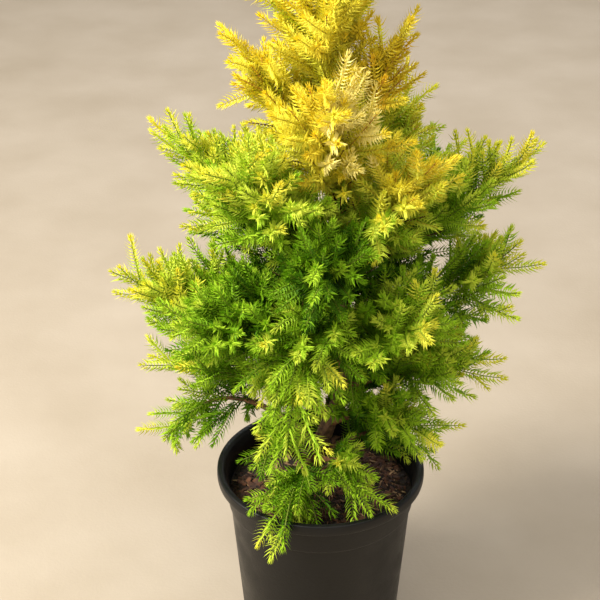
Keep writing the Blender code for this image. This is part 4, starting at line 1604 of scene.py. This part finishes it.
def bed_mesh(name, radius, lower_rings=()):
    """The bed's surface out to a radius; with lower rings it goes on down and is closed."""
    shape = bmesh.new()
    turns = [2 * math.pi * j / BED_SIDES for j in range(BED_SIDES)]
    outs = [radius * (i + 1) / BED_RINGS for i in range(BED_RINGS)]
    rings = [[bed_point(out, turn) for turn in turns] for out in outs]
    for out, height in lower_rings:
        rings.append([(out * math.cos(turn), out * math.sin(turn), height) for turn in turns])
    rings = [[shape.verts.new(place) for place in ring] for ring in rings]
    middle = shape.verts.new(bed_point(0.0, 0.0))
    for j in range(BED_SIDES):
        k = (j + 1) % BED_SIDES
        shape.faces.new((middle, rings[0][j], rings[0][k]))
        for inner, outer in zip(rings, rings[1:]):
            shape.faces.new((inner[j], outer[j], outer[k], inner[k]))
    if lower_rings:
        shape.faces.new(rings[-1][::-1])
    return meshed(name, shape)


bed = placed("compost_bed", bed_mesh("compost_bed", BED_RADIUS, BED_LOW))
bed.data.shade_smooth()
peat = material_of(
    "peat",
    colour_of(26, 19, 15),
    colour_of(58, 42, 31),
    scale=900.0,
    roughness=(0.85, 0.98),
    relief={"Coarse": 900.0, "Fine": 3200.0, "Fine Share": 0.5},
    depth=0.0009,
)
bed.data.materials.append(peat)
keep(bed, "compost", "soil")
print("bed", len(bed.data.polygons), "faces")

# %% [markdown]
# Litter lies on the compost. It is of three kinds, each with a few forms of its own: flat chips of
# reddish bark, round crumbs of peat and thin pale slivers of wood. One node tree scatters them all
# over a copy of the bed's surface, each turned and tilted by chance.


# %% Litter on the compost
def scatter_tree():
    """Forms scattered over a surface, turned any way and tilted a little."""
    tree, taken, given = node_tree(
        "litter_on_bed",
        [
            ("Forms", "NodeSocketCollection", None),
            ("Density", "NodeSocketFloat", 50000.0),
            ("Tilt", "NodeSocketFloat", 0.5),
            ("Smallest", "NodeSocketFloat", 0.5),
            ("Largest", "NodeSocketFloat", 1.0),
            ("Seed", "NodeSocketInt", 1),
            ("Material", "NodeSocketMaterial", None),
        ],
    )
    link = tree.links.new
    spread = tree.nodes.new("GeometryNodeDistributePointsOnFaces")
    turn = tree.nodes.new("ShaderNodeCombineXYZ")
    seed = taken.outputs["Seed"]
    link(taken.outputs["Geometry"], spread.inputs["Mesh"])
    link(taken.outputs["Density"], spread.inputs["Density"])
    link(seed, spread.inputs["Seed"])
    link(either_way(tree, taken.outputs["Tilt"], seed, 1), turn.inputs["X"])
    link(either_way(tree, taken.outputs["Tilt"], seed, 2), turn.inputs["Y"])
    link(random_between(tree, 0.0, 2 * math.pi, seed, 3), turn.inputs["Z"])
    size = random_between(tree, taken.outputs["Smallest"], taken.outputs["Largest"], seed, 4)
    place = picked_forms(tree, spread.outputs["Points"], taken.outputs["Forms"])
    link(turn.outputs["Vector"], place.inputs["Rotation"])
    link(size, place.inputs["Scale"])
    return ended(tree, taken, given, place.outputs["Instances"])


SCATTER_TREE = scatter_tree()
FORMS_OF_EACH = 5
ROUND_TO = 0.62
LITTER_SEED = 40
# kind: (length, width and thickness, cuts, roughness of the form, radius of the bed that it lies on)
LITTER_FORMS = {
    "bark_chips": ((0.0085, 0.0046, 0.0018), 1, 0.26, 0.0530),
    "peat_crumbs": ((0.0024, 0.0021, 0.0018), 1, 0.30, 0.0560),
    "wood_slivers": ((0.0110, 0.0011, 0.0007), 0, 0.20, 0.0515),
}
# kind: (pieces to a square metre, tilt, smallest share, largest share, dark colour, light colour)
LITTER_SPREAD = {
    "bark_chips": (52000.0, 0.5, 0.4, 1.0, colour_of(60, 37, 25), colour_of(112, 73, 49)),
    "peat_crumbs": (130000.0, 1.5, 0.4, 1.2, colour_of(30, 22, 17), colour_of(72, 51, 36)),
    "wood_slivers": (34000.0, 0.35, 0.4, 1.0, colour_of(126, 92, 62), colour_of(186, 150, 110)),
}


def litter_form(name, size, cuts, rough, chance):
    """One lump: a block with its corners and middles pushed about."""
    shape = bmesh.new()
    bmesh.ops.create_cube(shape, size=1.0)
    if cuts:
        bmesh.ops.subdivide_edges(shape, edges=shape.edges, cuts=cuts, use_grid_fill=True)
    for vertex in shape.verts:
        round_off = min(1.0, ROUND_TO / max(vertex.co.length, 0.01)) if cuts else 1.0
        vertex.co *= round_off * chance.uniform(1 - rough, 1 + rough)
        vertex.co = Vector(vertex.co[i] * size[i] for i in range(3))
    return bpy.data.objects.new(name, meshed(name, shape))


chance = random.Random("litter")
for number, (kind, (size, cuts, rough, radius)) in enumerate(LITTER_FORMS.items()):
    density, tilt, smallest, largest, dark, light = LITTER_SPREAD[kind]
    forms = bpy.data.collections.new(kind)
    for i in range(FORMS_OF_EACH):
        forms.objects.link(litter_form(f"{kind}_form_{i}", size, cuts, rough, chance))
    values = {
        "Forms": forms,
        "Density": density,
        "Tilt": tilt,
        "Smallest": smallest,
        "Largest": largest,
        "Seed": LITTER_SEED + SEEDS_APART * number,
        "Material": material_of(kind, dark, light, scale=160.0, roughness=(0.75, 0.95)),
    }
    piece = made_by(kind, bed_mesh(kind, radius), SCATTER_TREE, values)
    keep(piece, "compost", "soil")
    piece.data.calc_loop_triangles()
    print(kind, len(piece.data.loop_triangles), "triangles")

# %% [markdown]
# The last step works out how large the solids and the dressed plant are, so that the two can be
# compared.

# %% Sizes, and the end
boxes = {"cad": cad_box, "visual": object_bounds()}
{k: [[float(x) for x in corner] for corner in box] for k, box in boxes.items()}
